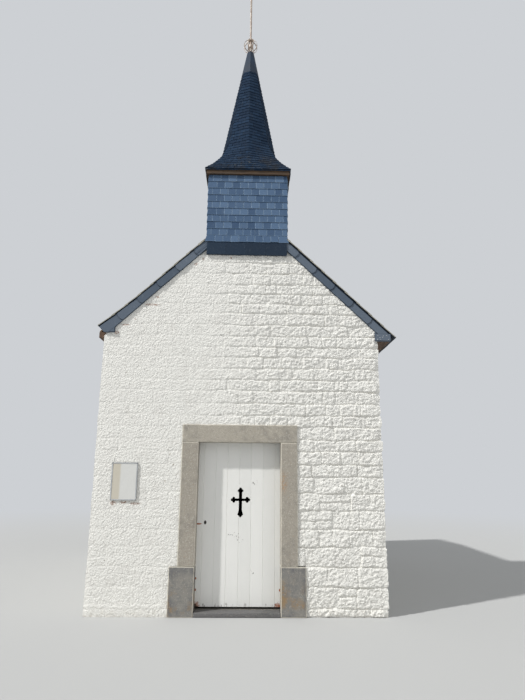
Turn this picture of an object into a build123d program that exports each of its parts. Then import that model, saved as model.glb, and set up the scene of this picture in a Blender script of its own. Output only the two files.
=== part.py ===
from build123d import *
import os
from math import atan, cos, degrees, pi, radians, sin, tan

# Small whitewashed stone chapel with one room, a slate roof, a slate-hung belfry astride
# the front of the ridge, and a bell-cast spire that turns from a square foot to an octagon.
# Frame: +Z up, front towards -Y. The origin is on the ground under the ridge, half-way between
# the lip of the spire in front and the slates of the back verge.
# All sizes are millimetres.

# Masonry
WALL_WIDTH = 3320
WALL_LENGTH = 4400
WALL_THICKNESS = 450
WALL_OFFSET = -45  # the walls stand this far to the left of the ridge line

# Doorway and its dressed stone surround
OPENING_WIDTH = 956
OPENING_TOP = 1882
SILL_TOP = 50
JAMB_FACE = 194
BASE_BLOCK_FACE = 286
BASE_BLOCK_TOP = 520
LINTEL_DEPTH = 204
SURROUND_PROUD = 38
SURROUND_BED = 120  # how far the dressed stones reach into the wall
STONE_CHAMFER = 7
SILL_ROUNDING = 14
EMBRASURE_EXTRA = 82  # the opening behind the stones is wider by this on each side
EMBRASURE_RISE = 28  # and higher by this
INNER_LINTEL_BEARING = 120

# Door leaf
LEAF_LAP = 22  # the leaf passes behind the jambs and lintel by this
LEAF_GAP = 5  # running gap between the leaf and the stones
LEAF_FLOOR_GAP = 25
BOARD_THICKNESS = 32
BOARD_PITCH = 140
BOARD_GROOVE_WIDTH = 7
BOARD_GROOVE_DEPTH = 4
LEDGE_THICKNESS = 30
LEDGE_HEIGHT = 120
LEDGE_END = 55  # the ledges stop this far from the edges of the leaf
LEDGE_FROM_FOOT = 105  # from the foot of the leaf to the middle of the lowest ledge
LEDGE_FROM_HEAD = 209  # from the head of the leaf to the middle of the highest ledge
LEDGE_BELOW_LOCK = 74  # clear space between the lock and the middle ledge
BRACE_WIDTH = 95
KEYHOLE_HEIGHT = 982
KEYHOLE_INSET = 91
KEYHOLE_RADIUS = 10
KEYHOLE_SLOT = 26  # from the middle of the round hole down to the foot of the slot
KEYHOLE_SLOT_WIDTH = 13
LOCK_LENGTH = 150
LOCK_HEIGHT = 96
LOCK_DEPTH = 26
LOCK_CHAMFER = 3

# Cross cut through the door, repeated larger at the head of the finial
CROSS_MIDDLE = 1228  # height of the arms above the ground
CROSS_CENTRING = 16  # the cross stands this far to the right of the leaf's middle
CROSS_HEAD = 139  # from the arms up to the tip
CROSS_FOOT = 201  # and down to the point
CROSS_ARM = 114
CROSS_BAR = 30
CROSS_SHAFT = 38
LOBE_RADIUS = 16
LOBE_SPREAD = 18  # from the bar's middle to the middles of the side lobes
LOBE_SEAT = 36  # from the tip to the side lobes
FOOT_FLARE = 86  # the shaft widens from this far above its point
FOOT_NECK = 54  # down to this far, and then steps out to its shoulders
FOOT_NECK_HALF = 27
FOOT_SHOULDER = 38
FOOT_HALF = 36

# Strap hinges and pintles
PIN_RADIUS = 8
PIN_CLEARANCE = 0.3
PIN_OUT = 20  # pin axis beyond the hinge edge of the leaf
EYE_WALL = 8
EYE_HEIGHT = 44
STRAP_WIDTH = 40
STRAP_THICKNESS = 6
STRAP_LENGTH = 620
PINTLE_ARM = 22
PINTLE_PLATE = 70
PINTLE_PLATE_THICKNESS = 8

# Roof
ROOF_PITCH = 44
EAVE_OVERHANG = 120  # mean overhang of the eaves boards beyond the side walls
EAVE_TOP = 3208  # top of the boarding at the eaves board
BOARDING = 20
SLATE_COAT = 24
SLATE_DRIP = 57  # the slates pass the eaves board by this
VERGE_DRIP = 15  # and the bargeboards by this
RAFTER_DEPTH = 90
RAFTER_WIDTH = 65
RAFTER_PAIRS = 6
BIRDSMOUTH = 30
PLATE_WIDTH = 120
PLATE_HEIGHT = 100
PLATE_INSET = 170  # mean distance from the outer wall face to the middle of the plate
RIDGE_BEAM_WIDTH = 80
RIDGE_BEAM_DEPTH = 180
RIDGE_BEAM_BEARING = 150
BARGEBOARD_WIDTH = 137
BARGEBOARD_THICKNESS = 30
RETURN_WIDTH = 190  # flat plate that closes the end of the boxed eaves
EAVES_BOARD_THICKNESS = 25
SOFFIT_THICKNESS = 18
SOFFIT_DROP = 85  # from the top of the boarding at the eaves board down to the soffit's face
RIDGE_CAP_WING = 130
RIDGE_CAP_THICKNESS = 5
RIDGE_CAP_ROLL = 18
ROLL_FACE_COUNT = 12
RIDGE_CAP_ROLL_RISE = 13  # from the fold of the sheet up to the middle of the roll

# Belfry
BELFRY_WIDTH = 1016
BELFRY_RISE = 909  # above the roof boarding where the sides of the belfry meet it
BELFRY_DROP = 200  # the front panel hangs this far below the same line
BELFRY_PANEL = 25
POST = 80
APRON_HEIGHT = 160
APRON_DROP = 15  # below the foot of the front panel
APRON_THICKNESS = 18
FLASHING_UPSTAND = 110
FLASHING_TRAY = 120
FLASHING_THICKNESS = 5

# Spire
SPIRE_EAVE_OVERHANG = 36
SPIRE_SLATE_DRIP = 13
SPIRE_FASCIA_HEIGHT = 55
SPIRE_FASCIA_THICKNESS = 20
SPIRE_SOFFIT_THICKNESS = 15
SPIRE_EDGE = 12  # upright edge of the lowest slates
FLARE_HEIGHT = 640
SHAFT_HEIGHT = 1250
SHAFT_TOP_RADIUS = 115
SHAFT_TAPER = 0.19  # corner radius lost for each unit of height
SPIRE_SHELL = 36  # thickness at the corners
FLARE_STAGES = 5  # straight stretches that follow the curve of the bell-cast foot
SPIRE_FACE_COUNT = 8

# Cap and finial
CAP_HEIGHT = 413
CAP_SKIRT = 20
CAP_PROUD = 11
CAP_WALL = 20
CAP_CHAMFER = 12
ROD_RADIUS = 14
ROD_LENGTH = 1240
ROD_FIT = 0.3
KNOB_RADIUS = 36
KNOB_HEIGHT = 84
KNOB_CHAMFER = 20
COLLAR_RADIUS = 32
COLLAR_HEIGHT = 14
BASKET_RADIUS = 106
BASKET_HEIGHT = 222
BASKET_RIBS = 8
RIB_WIDTH = 13
RIB_THICKNESS = 6
SHOULDER_RADIUS = 20
SHOULDER_HEIGHT = 28
FINIAL_CROSS_SCALE = 1.4  # against the cross in the door
FINIAL_CROSS_THICKNESS = 12

# Notice panel beside the door
NOTICE_WIDTH = 297
NOTICE_HEIGHT = 420
NOTICE_THICKNESS = 6
NOTICE_MIDDLE = 1430
NOTICE_FROM_DOOR = 1314
BATTEN_WIDTH = 34
BATTEN_DEPTH = 26
BATTEN_INSET = 30  # from the ends of the panel to the battens behind it
BATTEN_SIDE = 12

# Places worked out from the sizes above
WALL_LEFT = WALL_OFFSET - WALL_WIDTH / 2
WALL_RIGHT = WALL_OFFSET + WALL_WIDTH / 2
SPIRE_REACH = BELFRY_PANEL + SPIRE_EAVE_OVERHANG + SPIRE_SLATE_DRIP  # in front of the wall
VERGE_REACH = BARGEBOARD_THICKNESS + VERGE_DRIP  # beyond the back wall
OVERALL_LENGTH = SPIRE_REACH + WALL_LENGTH + VERGE_REACH
FRONT = SPIRE_REACH - OVERALL_LENGTH / 2
BACK = FRONT + WALL_LENGTH
INSIDE_FRONT = FRONT + WALL_THICKNESS
INSIDE_BACK = BACK - WALL_THICKNESS
DOOR_X = WALL_OFFSET
SLOPE = tan(radians(ROOF_PITCH))
LEAN = cos(radians(ROOF_PITCH))
EAVE_HALF_SPAN = WALL_WIDTH / 2 + EAVE_OVERHANG
PLATE_MIDDLE = WALL_WIDTH / 2 - PLATE_INSET

OPENING_HALF = OPENING_WIDTH / 2
JAMB_OUTER = OPENING_HALF + JAMB_FACE
BASE_OUTER = OPENING_HALF + BASE_BLOCK_FACE
LINTEL_TOP = OPENING_TOP + LINTEL_DEPTH
SURROUND_FRONT = FRONT - SURROUND_PROUD
SURROUND_BACK = FRONT + SURROUND_BED
EMBRASURE_HALF = OPENING_HALF + EMBRASURE_EXTRA
EMBRASURE_TOP = OPENING_TOP + EMBRASURE_RISE

LEAF_HALF = OPENING_HALF + LEAF_LAP
LEAF_BOTTOM = SILL_TOP + LEAF_FLOOR_GAP
LEAF_TOP = OPENING_TOP + LEAF_LAP - LEAF_GAP
LEAF_FRONT = SURROUND_BACK + LEAF_GAP
LEAF_BACK = LEAF_FRONT + BOARD_THICKNESS
LEDGE_BACK = LEAF_BACK + LEDGE_THICKNESS
PIN_X = DOOR_X + LEAF_HALF + PIN_OUT
PIN_Y = LEDGE_BACK + STRAP_THICKNESS - PIN_RADIUS - PIN_CLEARANCE - EYE_WALL
EYE_RADIUS = PIN_RADIUS + PIN_CLEARANCE + EYE_WALL

SOFFIT_BOTTOM = EAVE_TOP - SOFFIT_DROP
SOFFIT_TOP = SOFFIT_BOTTOM + SOFFIT_THICKNESS
BELFRY_HALF = BELFRY_WIDTH / 2
BELFRY_FRONT = FRONT - BELFRY_PANEL
BELFRY_Y = BELFRY_FRONT + BELFRY_HALF
BELFRY_BACK = BELFRY_FRONT + BELFRY_WIDTH
INSIDE_PANEL = BELFRY_HALF - BELFRY_PANEL
INSIDE_POST = INSIDE_PANEL - POST


def roof_height(x, below=0):
    """Height of the roof plane at a distance from the ridge line, or of a plane below it."""
    return EAVE_TOP + (EAVE_HALF_SPAN - abs(x)) * SLOPE - below / LEAN


PLATE_TOP = roof_height(PLATE_MIDDLE + PLATE_WIDTH / 2, BOARDING + RAFTER_DEPTH) + BIRDSMOUTH
WALL_TOP = PLATE_TOP - PLATE_HEIGHT
RIDGE_BEAM_BOTTOM = roof_height(RIDGE_BEAM_WIDTH / 2, BOARDING) - RIDGE_BEAM_DEPTH

BELFRY_TOP = roof_height(BELFRY_HALF) + BELFRY_RISE
BELFRY_FOOT = roof_height(BELFRY_HALF) - BELFRY_DROP
SPIRE_EAVE_HALF = BELFRY_HALF + SPIRE_EAVE_OVERHANG
FASCIA_INNER = SPIRE_EAVE_HALF - SPIRE_FASCIA_THICKNESS
SPIRE_BASE = BELFRY_TOP + SPIRE_FASCIA_HEIGHT
FLARE_BOTTOM = SPIRE_BASE + SPIRE_EDGE
SHAFT_BOTTOM = FLARE_BOTTOM + FLARE_HEIGHT
SHAFT_TOP = SHAFT_BOTTOM + SHAFT_HEIGHT
CAP_TOP = SHAFT_TOP + CAP_HEIGHT
BASKET_TOP = CAP_TOP + BASKET_HEIGHT


def block(x, y, z, mode=Mode.ADD):
    """A box between two x, two y and two z limits."""
    with Locations(((x[0] + x[1]) / 2, (y[0] + y[1]) / 2, (z[0] + z[1]) / 2)):
        Box(x[1] - x[0], y[1] - y[0], z[1] - z[0], mode=mode)


def upright(points, y, mode=Mode.ADD):
    """An outline of x and z points, drawn on the far y limit and extruded to the near one."""
    with BuildSketch(Plane.XZ.offset(-y[1])) as outline:
        with BuildLine():
            Polyline(*points, close=True)
        make_face()
    extrude(outline.sketch, amount=y[1] - y[0], mode=mode)


def finish(builder, name):
    """Labels a finished piece and writes its file."""
    builder.part.label = name
    export_step(builder.part, f"parts/{name}.step")


def sided(side, *points):
    """Outline points given for the right-hand side, put on either side of the ridge line."""
    return [(side * x, z) for x, z in points]


def span(side, near, far):
    """The x limits of a stretch from near to far of the ridge line, on either side of it."""
    return sorted((side * near, side * far))


os.makedirs("parts", exist_ok=True)
SIDES = {"left": -1, "right": 1}

# Front wall: a pier on each side of the doorway, notched for the dressed stones
for side_name, side in SIDES.items():
    outer = WALL_RIGHT if side > 0 else WALL_LEFT
    bed = (FRONT, SURROUND_BACK)
    behind = (SURROUND_BACK, INSIDE_FRONT)
    with BuildPart() as front_wall:
        block(sorted((DOOR_X + side * EMBRASURE_HALF, outer)), (FRONT, INSIDE_FRONT), (0, LINTEL_TOP))
        for half, z in ((BASE_OUTER, (0, BASE_BLOCK_TOP)), (JAMB_OUTER, (BASE_BLOCK_TOP, LINTEL_TOP))):
            notch = sorted((DOOR_X + side * EMBRASURE_HALF, DOOR_X + side * half))
            block(notch, bed, z, mode=Mode.SUBTRACT)
        bearing = EMBRASURE_HALF + INNER_LINTEL_BEARING
        notch = sorted((DOOR_X + side * EMBRASURE_HALF, DOOR_X + side * bearing))
        block(notch, behind, (EMBRASURE_TOP, LINTEL_TOP), mode=Mode.SUBTRACT)
    finish(front_wall, f"front_wall_{side_name}")


def gable_outline(bottom):
    """Outline of an end wall from a level up to the underside of the roof boarding."""
    return [
        (WALL_LEFT, bottom),
        (WALL_RIGHT, bottom),
        (WALL_RIGHT, roof_height(WALL_RIGHT, BOARDING)),
        (0, roof_height(0, BOARDING)),
        (WALL_LEFT, roof_height(WALL_LEFT, BOARDING)),
    ]


half_beam = RIDGE_BEAM_WIDTH / 2
RIDGE_BEAM_OUTLINE = [
    (-half_beam, RIDGE_BEAM_BOTTOM),
    (half_beam, RIDGE_BEAM_BOTTOM),
    (half_beam, roof_height(half_beam, BOARDING)),
    (0, roof_height(0, BOARDING)),
    (-half_beam, roof_height(half_beam, BOARDING)),
]
BEAM_FRONT = INSIDE_FRONT - RIDGE_BEAM_BEARING
BEAM_BACK = INSIDE_BACK + RIDGE_BEAM_BEARING

# Front gable over the lintel, and the back wall, each with a pocket for the ridge beam
with BuildPart() as front_gable:
    upright(gable_outline(LINTEL_TOP), (FRONT, INSIDE_FRONT))
    upright(RIDGE_BEAM_OUTLINE, (BEAM_FRONT, INSIDE_FRONT), mode=Mode.SUBTRACT)
finish(front_gable, "front_gable")

with BuildPart() as back_wall:
    upright(gable_outline(0), (INSIDE_BACK, BACK))
    upright(RIDGE_BEAM_OUTLINE, (INSIDE_BACK, BEAM_BACK), mode=Mode.SUBTRACT)
finish(back_wall, "back_wall")

# Side walls, between the two end walls
for side_name, outer in (("left", WALL_LEFT), ("right", WALL_RIGHT)):
    inner = outer - SIDES[side_name] * WALL_THICKNESS
    with BuildPart() as side_wall:
        block(sorted((inner, outer)), (INSIDE_FRONT, INSIDE_BACK), (0, WALL_TOP))
    finish(side_wall, f"side_wall_{side_name}")

# Floor of the room, carried on through the embrasure to the threshold
with BuildPart() as floor_paving:
    room = (WALL_LEFT + WALL_THICKNESS, WALL_RIGHT - WALL_THICKNESS)
    block(room, (INSIDE_FRONT, INSIDE_BACK), (0, SILL_TOP))
    passage = (DOOR_X - EMBRASURE_HALF, DOOR_X + EMBRASURE_HALF)
    block(passage, (SURROUND_BACK, INSIDE_FRONT), (0, SILL_TOP))
finish(floor_paving, "floor_paving")

# Threshold stone with a worn, rounded nose
with BuildPart() as threshold:
    sill = (DOOR_X - OPENING_HALF, DOOR_X + OPENING_HALF)
    block(sill, (SURROUND_FRONT, SURROUND_BACK), (0, SILL_TOP))
    nose = threshold.edges().filter_by(Axis.X).group_by(Axis.Z)[-1].sort_by(Axis.Y)[0]
    fillet(nose, radius=SILL_ROUNDING)
finish(threshold, "threshold_stone")

# Base blocks, jambs and lintel, with chamfered arrises on the front
STONE_Y = (SURROUND_FRONT, SURROUND_BACK)
with BuildPart() as base_blocks:
    for side in SIDES.values():
        near, far = DOOR_X + side * OPENING_HALF, DOOR_X + side * BASE_OUTER
        block(sorted((near, far)), STONE_Y, (0, BASE_BLOCK_TOP))
    arrises = base_blocks.faces().group_by(Axis.Y)[0].edges().group_by(Axis.Z)[1:]
    chamfer([edge for group in arrises for edge in group], length=STONE_CHAMFER)
finish(base_blocks, "door_base_blocks")

with BuildPart() as jambs:
    for side in SIDES.values():
        near, far = DOOR_X + side * OPENING_HALF, DOOR_X + side * JAMB_OUTER
        block(sorted((near, far)), STONE_Y, (BASE_BLOCK_TOP, OPENING_TOP))
    chamfer(jambs.faces().group_by(Axis.Y)[0].edges().filter_by(Axis.Z), length=STONE_CHAMFER)
finish(jambs, "door_jambs")

with BuildPart() as lintel:
    block((DOOR_X - JAMB_OUTER, DOOR_X + JAMB_OUTER), STONE_Y, (OPENING_TOP, LINTEL_TOP))
    ends_and_top = lintel.faces().sort_by(Axis.Y)[0].edges().sort_by(Axis.Z)[1:]
    chamfer(ends_and_top, length=STONE_CHAMFER)
finish(lintel, "door_lintel")

with BuildPart() as inner_lintel:
    reach = EMBRASURE_HALF + INNER_LINTEL_BEARING
    block((DOOR_X - reach, DOOR_X + reach), (SURROUND_BACK, INSIDE_FRONT), (EMBRASURE_TOP, LINTEL_TOP))
finish(inner_lintel, "inner_lintel")

# Roof carpentry: wall plates, ridge beam and pairs of rafters notched over the plates
with BuildPart() as wall_plates:
    for side in SIDES.values():
        across = span(side, PLATE_MIDDLE - PLATE_WIDTH / 2, PLATE_MIDDLE + PLATE_WIDTH / 2)
        block(across, (INSIDE_FRONT, INSIDE_BACK), (WALL_TOP, PLATE_TOP))
finish(wall_plates, "wall_plates")

with BuildPart() as ridge_beam:
    upright(RIDGE_BEAM_OUTLINE, (BEAM_FRONT, BEAM_BACK))
finish(ridge_beam, "ridge_beam")

TAIL = EAVE_HALF_SPAN - EAVES_BOARD_THICKNESS
RAFTER_ENDS = INSIDE_FRONT + RAFTER_WIDTH, INSIDE_BACK - RAFTER_WIDTH
RAFTER_STEP = (RAFTER_ENDS[1] - RAFTER_ENDS[0]) / (RAFTER_PAIRS - 1)
under = BOARDING + RAFTER_DEPTH
tail_meets_soffit = EAVE_HALF_SPAN + (EAVE_TOP - under / LEAN - SOFFIT_TOP) / SLOPE
with BuildPart() as rafters:
    for side in SIDES.values():
        outline = sided(
            side,
            (half_beam, roof_height(half_beam, BOARDING)),
            (half_beam, roof_height(half_beam, under)),
            (tail_meets_soffit, SOFFIT_TOP),
            (TAIL, SOFFIT_TOP),
            (TAIL, roof_height(TAIL, BOARDING)),
        )
        for pair in range(RAFTER_PAIRS):
            middle = RAFTER_ENDS[0] + pair * RAFTER_STEP
            upright(outline, (middle - RAFTER_WIDTH / 2, middle + RAFTER_WIDTH / 2))
        across = span(side, PLATE_MIDDLE - PLATE_WIDTH / 2, PLATE_MIDDLE + PLATE_WIDTH / 2)
        block(across, (INSIDE_FRONT, INSIDE_BACK), (WALL_TOP, PLATE_TOP), mode=Mode.SUBTRACT)
    block((WALL_LEFT, WALL_RIGHT), (INSIDE_FRONT, INSIDE_BACK), (0, WALL_TOP), mode=Mode.SUBTRACT)
finish(rafters, "rafters")

# Roof covering: boarding, then a coat of slates cut round the belfry
BARGE_FRONT = FRONT - BARGEBOARD_THICKNESS
BARGE_BACK = BACK + BARGEBOARD_THICKNESS
VERGE = (BARGE_FRONT - VERGE_DRIP, BARGE_BACK + VERGE_DRIP)
DRIP = EAVE_HALF_SPAN + SLATE_DRIP
for side_name, side in SIDES.items():
    with BuildPart() as boarding:
        outline = sided(
            side,
            (0, roof_height(0)),
            (EAVE_HALF_SPAN, roof_height(EAVE_HALF_SPAN)),
            (EAVE_HALF_SPAN, roof_height(EAVE_HALF_SPAN, BOARDING)),
            (0, roof_height(0, BOARDING)),
        )
        upright(outline, (FRONT, BACK))
    finish(boarding, f"roof_boarding_{side_name}")

    with BuildPart() as slates:
        outline = sided(
            side,
            (0, roof_height(0, -SLATE_COAT)),
            (DRIP, roof_height(DRIP, -SLATE_COAT)),
            (DRIP, roof_height(DRIP)),
            (0, roof_height(0)),
        )
        upright(outline, VERGE)
        footprint = span(side, 0, BELFRY_HALF)
        block(footprint, (VERGE[0], BELFRY_BACK), (0, SPIRE_BASE), mode=Mode.SUBTRACT)
    finish(slates, f"roof_slates_{side_name}")

# Ridge capping behind the belfry, a folded sheet with a round roll
with BuildPart() as ridge_cap:
    wing = RIDGE_CAP_WING * LEAN
    top = SLATE_COAT + RIDGE_CAP_THICKNESS
    outline = [
        (-wing, roof_height(wing, -SLATE_COAT)),
        (0, roof_height(0, -SLATE_COAT)),
        (wing, roof_height(wing, -SLATE_COAT)),
        (wing, roof_height(wing, -top)),
        (0, roof_height(0, -top)),
        (-wing, roof_height(wing, -top)),
    ]
    cap_front = BELFRY_BACK + FLASHING_THICKNESS
    upright(outline, (cap_front, VERGE[1]))
    with BuildSketch(Plane.XZ.offset(-VERGE[1])) as roll:
        with Locations((0, roof_height(0, -top) + RIDGE_CAP_ROLL_RISE)):
            RegularPolygon(RIDGE_CAP_ROLL, ROLL_FACE_COUNT)
    extrude(roll.sketch, amount=VERGE[1] - cap_front)
finish(ridge_cap, "ridge_cap")


def bargeboard_outline(side, inner):
    """Sloping board with a flat plate at its foot that closes the end of the boxed eaves."""
    plate = EAVE_HALF_SPAN - RETURN_WIDTH
    return sided(
        side,
        (inner, roof_height(inner)),
        (EAVE_HALF_SPAN, EAVE_TOP),
        (EAVE_HALF_SPAN, SOFFIT_BOTTOM),
        (plate, SOFFIT_BOTTOM),
        (plate, roof_height(plate, BARGEBOARD_WIDTH)),
        (inner, roof_height(inner, BARGEBOARD_WIDTH)),
    )


# Bargeboards, eaves boards and soffits
for side_name, side in SIDES.items():
    with BuildPart() as bargeboard_front:
        upright(bargeboard_outline(side, BELFRY_HALF), (BARGE_FRONT, FRONT))
    finish(bargeboard_front, f"bargeboard_front_{side_name}")

    with BuildPart() as bargeboard_back:
        upright(bargeboard_outline(side, 0), (BACK, BARGE_BACK))
    finish(bargeboard_back, f"bargeboard_back_{side_name}")

with BuildPart() as eaves_boards:
    for side in SIDES.values():
        outline = sided(
            side,
            (TAIL, roof_height(TAIL, BOARDING)),
            (EAVE_HALF_SPAN, roof_height(EAVE_HALF_SPAN, BOARDING)),
            (EAVE_HALF_SPAN, SOFFIT_BOTTOM),
            (TAIL, SOFFIT_BOTTOM),
        )
        upright(outline, (FRONT, BACK))
finish(eaves_boards, "eaves_boards")

with BuildPart() as soffits:
    for wall_face, edge in ((WALL_LEFT, -TAIL), (WALL_RIGHT, TAIL)):
        block(sorted((wall_face, edge)), (FRONT, BACK), (SOFFIT_BOTTOM, SOFFIT_TOP))
finish(soffits, "eaves_soffits")


def below_roof():
    """Cuts away whatever lies under the top of the roof boarding."""
    reach = BELFRY_WIDTH
    outline = [
        (-reach, 0),
        (reach, 0),
        (reach, roof_height(reach)),
        (0, roof_height(0)),
        (-reach, roof_height(reach)),
    ]
    upright(outline, (FRONT, BACK), mode=Mode.SUBTRACT)


def on_belfry(z):
    """A level plane centred on the belfry."""
    return Plane(origin=(0, BELFRY_Y, z), x_dir=(1, 0, 0), z_dir=(0, 0, 1))


def square_ring(z, outer_half, inner_half, height):
    """A square frame centred on the belfry."""
    with BuildSketch(on_belfry(z)) as ring:
        Rectangle(2 * outer_half, 2 * outer_half)
        Rectangle(2 * inner_half, 2 * inner_half, mode=Mode.SUBTRACT)
    extrude(ring.sketch, amount=height)


# Belfry frame: four corner posts on the roof, under head timbers that also carry the spire
with BuildPart() as belfry_frame:
    for side_x in SIDES.values():
        for side_y in SIDES.values():
            post_x = span(side_x, INSIDE_POST, INSIDE_PANEL)
            post_y = [BELFRY_Y + y for y in span(side_y, INSIDE_POST, INSIDE_PANEL)]
            block(post_x, post_y, (BELFRY_FOOT, BELFRY_TOP))
    below_roof()
    head_bottom = BELFRY_TOP - POST
    square_ring(head_bottom, INSIDE_PANEL, INSIDE_POST, SPIRE_BASE - head_bottom)
finish(belfry_frame, "belfry_frame")

# Belfry panels: the front one hangs down over the gable, the others stand on the roof
with BuildPart() as belfry_front:
    block((-BELFRY_HALF, BELFRY_HALF), (BELFRY_FRONT, FRONT), (BELFRY_FOOT, BELFRY_TOP))
finish(belfry_front, "belfry_front")

with BuildPart() as belfry_back:
    block((-BELFRY_HALF, BELFRY_HALF), (BELFRY_BACK - BELFRY_PANEL, BELFRY_BACK), (BELFRY_FOOT, BELFRY_TOP))
    below_roof()
finish(belfry_back, "belfry_back")

with BuildPart() as belfry_sides:
    for side in SIDES.values():
        across = span(side, INSIDE_PANEL, BELFRY_HALF)
        block(across, (FRONT, BELFRY_BACK - BELFRY_PANEL), (BELFRY_FOOT, BELFRY_TOP))
    below_roof()
finish(belfry_sides, "belfry_sides")

# Apron over the foot of the belfry front
with BuildPart() as apron:
    block(
        (-BELFRY_HALF, BELFRY_HALF),
        (BELFRY_FRONT - APRON_THICKNESS, BELFRY_FRONT),
        (BELFRY_FOOT - APRON_DROP, BELFRY_FOOT - APRON_DROP + APRON_HEIGHT),
    )
finish(apron, "belfry_apron")

# Folded flashing round the other three sides, an upstand on the belfry and a tray on the slates
with BuildPart() as flashing:
    foot = BELFRY_HALF + FLASHING_THICKNESS
    tray = BELFRY_HALF + FLASHING_TRAY * LEAN
    lift = SLATE_COAT + FLASHING_THICKNESS
    upstand = roof_height(BELFRY_HALF, -SLATE_COAT) + FLASHING_UPSTAND
    for side in SIDES.values():
        outline = sided(
            side,
            (BELFRY_HALF, roof_height(BELFRY_HALF, -SLATE_COAT)),
            (tray, roof_height(tray, -SLATE_COAT)),
            (tray, roof_height(tray, -lift)),
            (foot, roof_height(foot, -lift)),
            (foot, upstand),
            (BELFRY_HALF, upstand),
        )
        upright(outline, (FRONT, BELFRY_BACK + FLASHING_THICKNESS))
    outline = [
        (-foot, roof_height(foot, -SLATE_COAT)),
        (0, roof_height(0, -SLATE_COAT)),
        (foot, roof_height(foot, -SLATE_COAT)),
        (foot, upstand),
        (half_beam, roof_height(half_beam, -SLATE_COAT) + FLASHING_UPSTAND),
        (-half_beam, roof_height(half_beam, -SLATE_COAT) + FLASHING_UPSTAND),
        (-foot, upstand),
    ]
    upright(outline, (BELFRY_BACK, BELFRY_BACK + FLASHING_THICKNESS))
finish(flashing, "belfry_flashing")


# Boxed eaves of the spire: a soffit laid on the belfry panels, and a fascia round its edge
with BuildPart() as spire_soffit:
    square_ring(BELFRY_TOP, FASCIA_INNER, INSIDE_PANEL, SPIRE_SOFFIT_THICKNESS)
finish(spire_soffit, "spire_soffit")

with BuildPart() as spire_fascia:
    square_ring(BELFRY_TOP, SPIRE_EAVE_HALF, FASCIA_INNER, SPIRE_FASCIA_HEIGHT)
finish(spire_fascia, "spire_fascia")

HALF_SIDE = pi / SPIRE_FACE_COUNT
FACE_TAPER = degrees(atan(SHAFT_TAPER * cos(HALF_SIDE)))


def shaft_radius(z):
    """Corner radius of the octagonal shaft at a height."""
    return SHAFT_TOP_RADIUS + (SHAFT_TOP - z) * SHAFT_TAPER


def octagon(z, top, radius, mode=Mode.ADD):
    """An octagon with a corner to the front, drawn in with height as the spire is."""
    with BuildSketch(on_belfry(z)) as section:
        RegularPolygon(radius, SPIRE_FACE_COUNT)
    extrude(section.sketch, amount=top - z, taper=FACE_TAPER, mode=mode)


def flared_corners(z):
    """Eight corners of the bell-cast foot: on the diagonals of its square eaves, and mid-side."""
    climb = max(z - FLARE_BOTTOM, 0) / FLARE_HEIGHT
    flare = (1 - climb) ** 2
    eave = SPIRE_EAVE_HALF + SPIRE_SLATE_DRIP
    radius, foot_radius = shaft_radius(max(z, FLARE_BOTTOM)), shaft_radius(FLARE_BOTTOM)
    d = radius * cos(pi / 4) + (eave - foot_radius * cos(pi / 4)) * flare
    m = radius + (eave - foot_radius) * flare
    return [(m, 0), (d, d), (0, m), (-d, d), (-m, 0), (-d, -d), (0, -m), (d, -d)]


# Bell-cast foot: square at the eaves, octagonal at the top, hollow between its rafters
with BuildPart() as spire_foot:
    stage = FLARE_HEIGHT / FLARE_STAGES
    sections = []
    for z in (SPIRE_BASE, *(FLARE_BOTTOM + n * stage for n in range(FLARE_STAGES + 1))):
        with BuildSketch(on_belfry(z)) as section:
            with BuildLine():
                Polyline(*flared_corners(z), close=True)
            make_face()
        sections.append(section.sketch.face())
    loft(sections, ruled=True)
    octagon(SPIRE_BASE, SHAFT_BOTTOM, shaft_radius(SPIRE_BASE) - SPIRE_SHELL, mode=Mode.SUBTRACT)
finish(spire_foot, "spire_foot")

with BuildPart() as spire_shaft:
    octagon(SHAFT_BOTTOM, SHAFT_TOP, shaft_radius(SHAFT_BOTTOM))
    octagon(SHAFT_BOTTOM, SHAFT_TOP, shaft_radius(SHAFT_BOTTOM) - SPIRE_SHELL, mode=Mode.SUBTRACT)
finish(spire_shaft, "spire_shaft")

# Sheet-metal cap over the tip, with a skirt round the slates and a hole for the rod
SKIRT_BOTTOM = SHAFT_TOP - CAP_SKIRT
CROWN_BOTTOM = CAP_TOP - CAP_WALL
ROD_HOLE = ROD_RADIUS + ROD_FIT
with BuildPart() as spire_cap:
    octagon(SKIRT_BOTTOM, CAP_TOP, shaft_radius(SKIRT_BOTTOM) + CAP_PROUD)
    chamfer(spire_cap.faces().sort_by(Axis.Z)[-1].edges(), length=CAP_CHAMFER)
    octagon(SKIRT_BOTTOM, SHAFT_TOP, shaft_radius(SKIRT_BOTTOM) + ROD_FIT, mode=Mode.SUBTRACT)
    octagon(SHAFT_TOP, CROWN_BOTTOM, shaft_radius(SHAFT_TOP) - CAP_WALL, mode=Mode.SUBTRACT)
    with BuildSketch(on_belfry(CROWN_BOTTOM)) as hole:
        Circle(ROD_HOLE)
    extrude(hole.sketch, amount=CAP_WALL, mode=Mode.SUBTRACT)
finish(spire_cap, "spire_cap")

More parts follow.
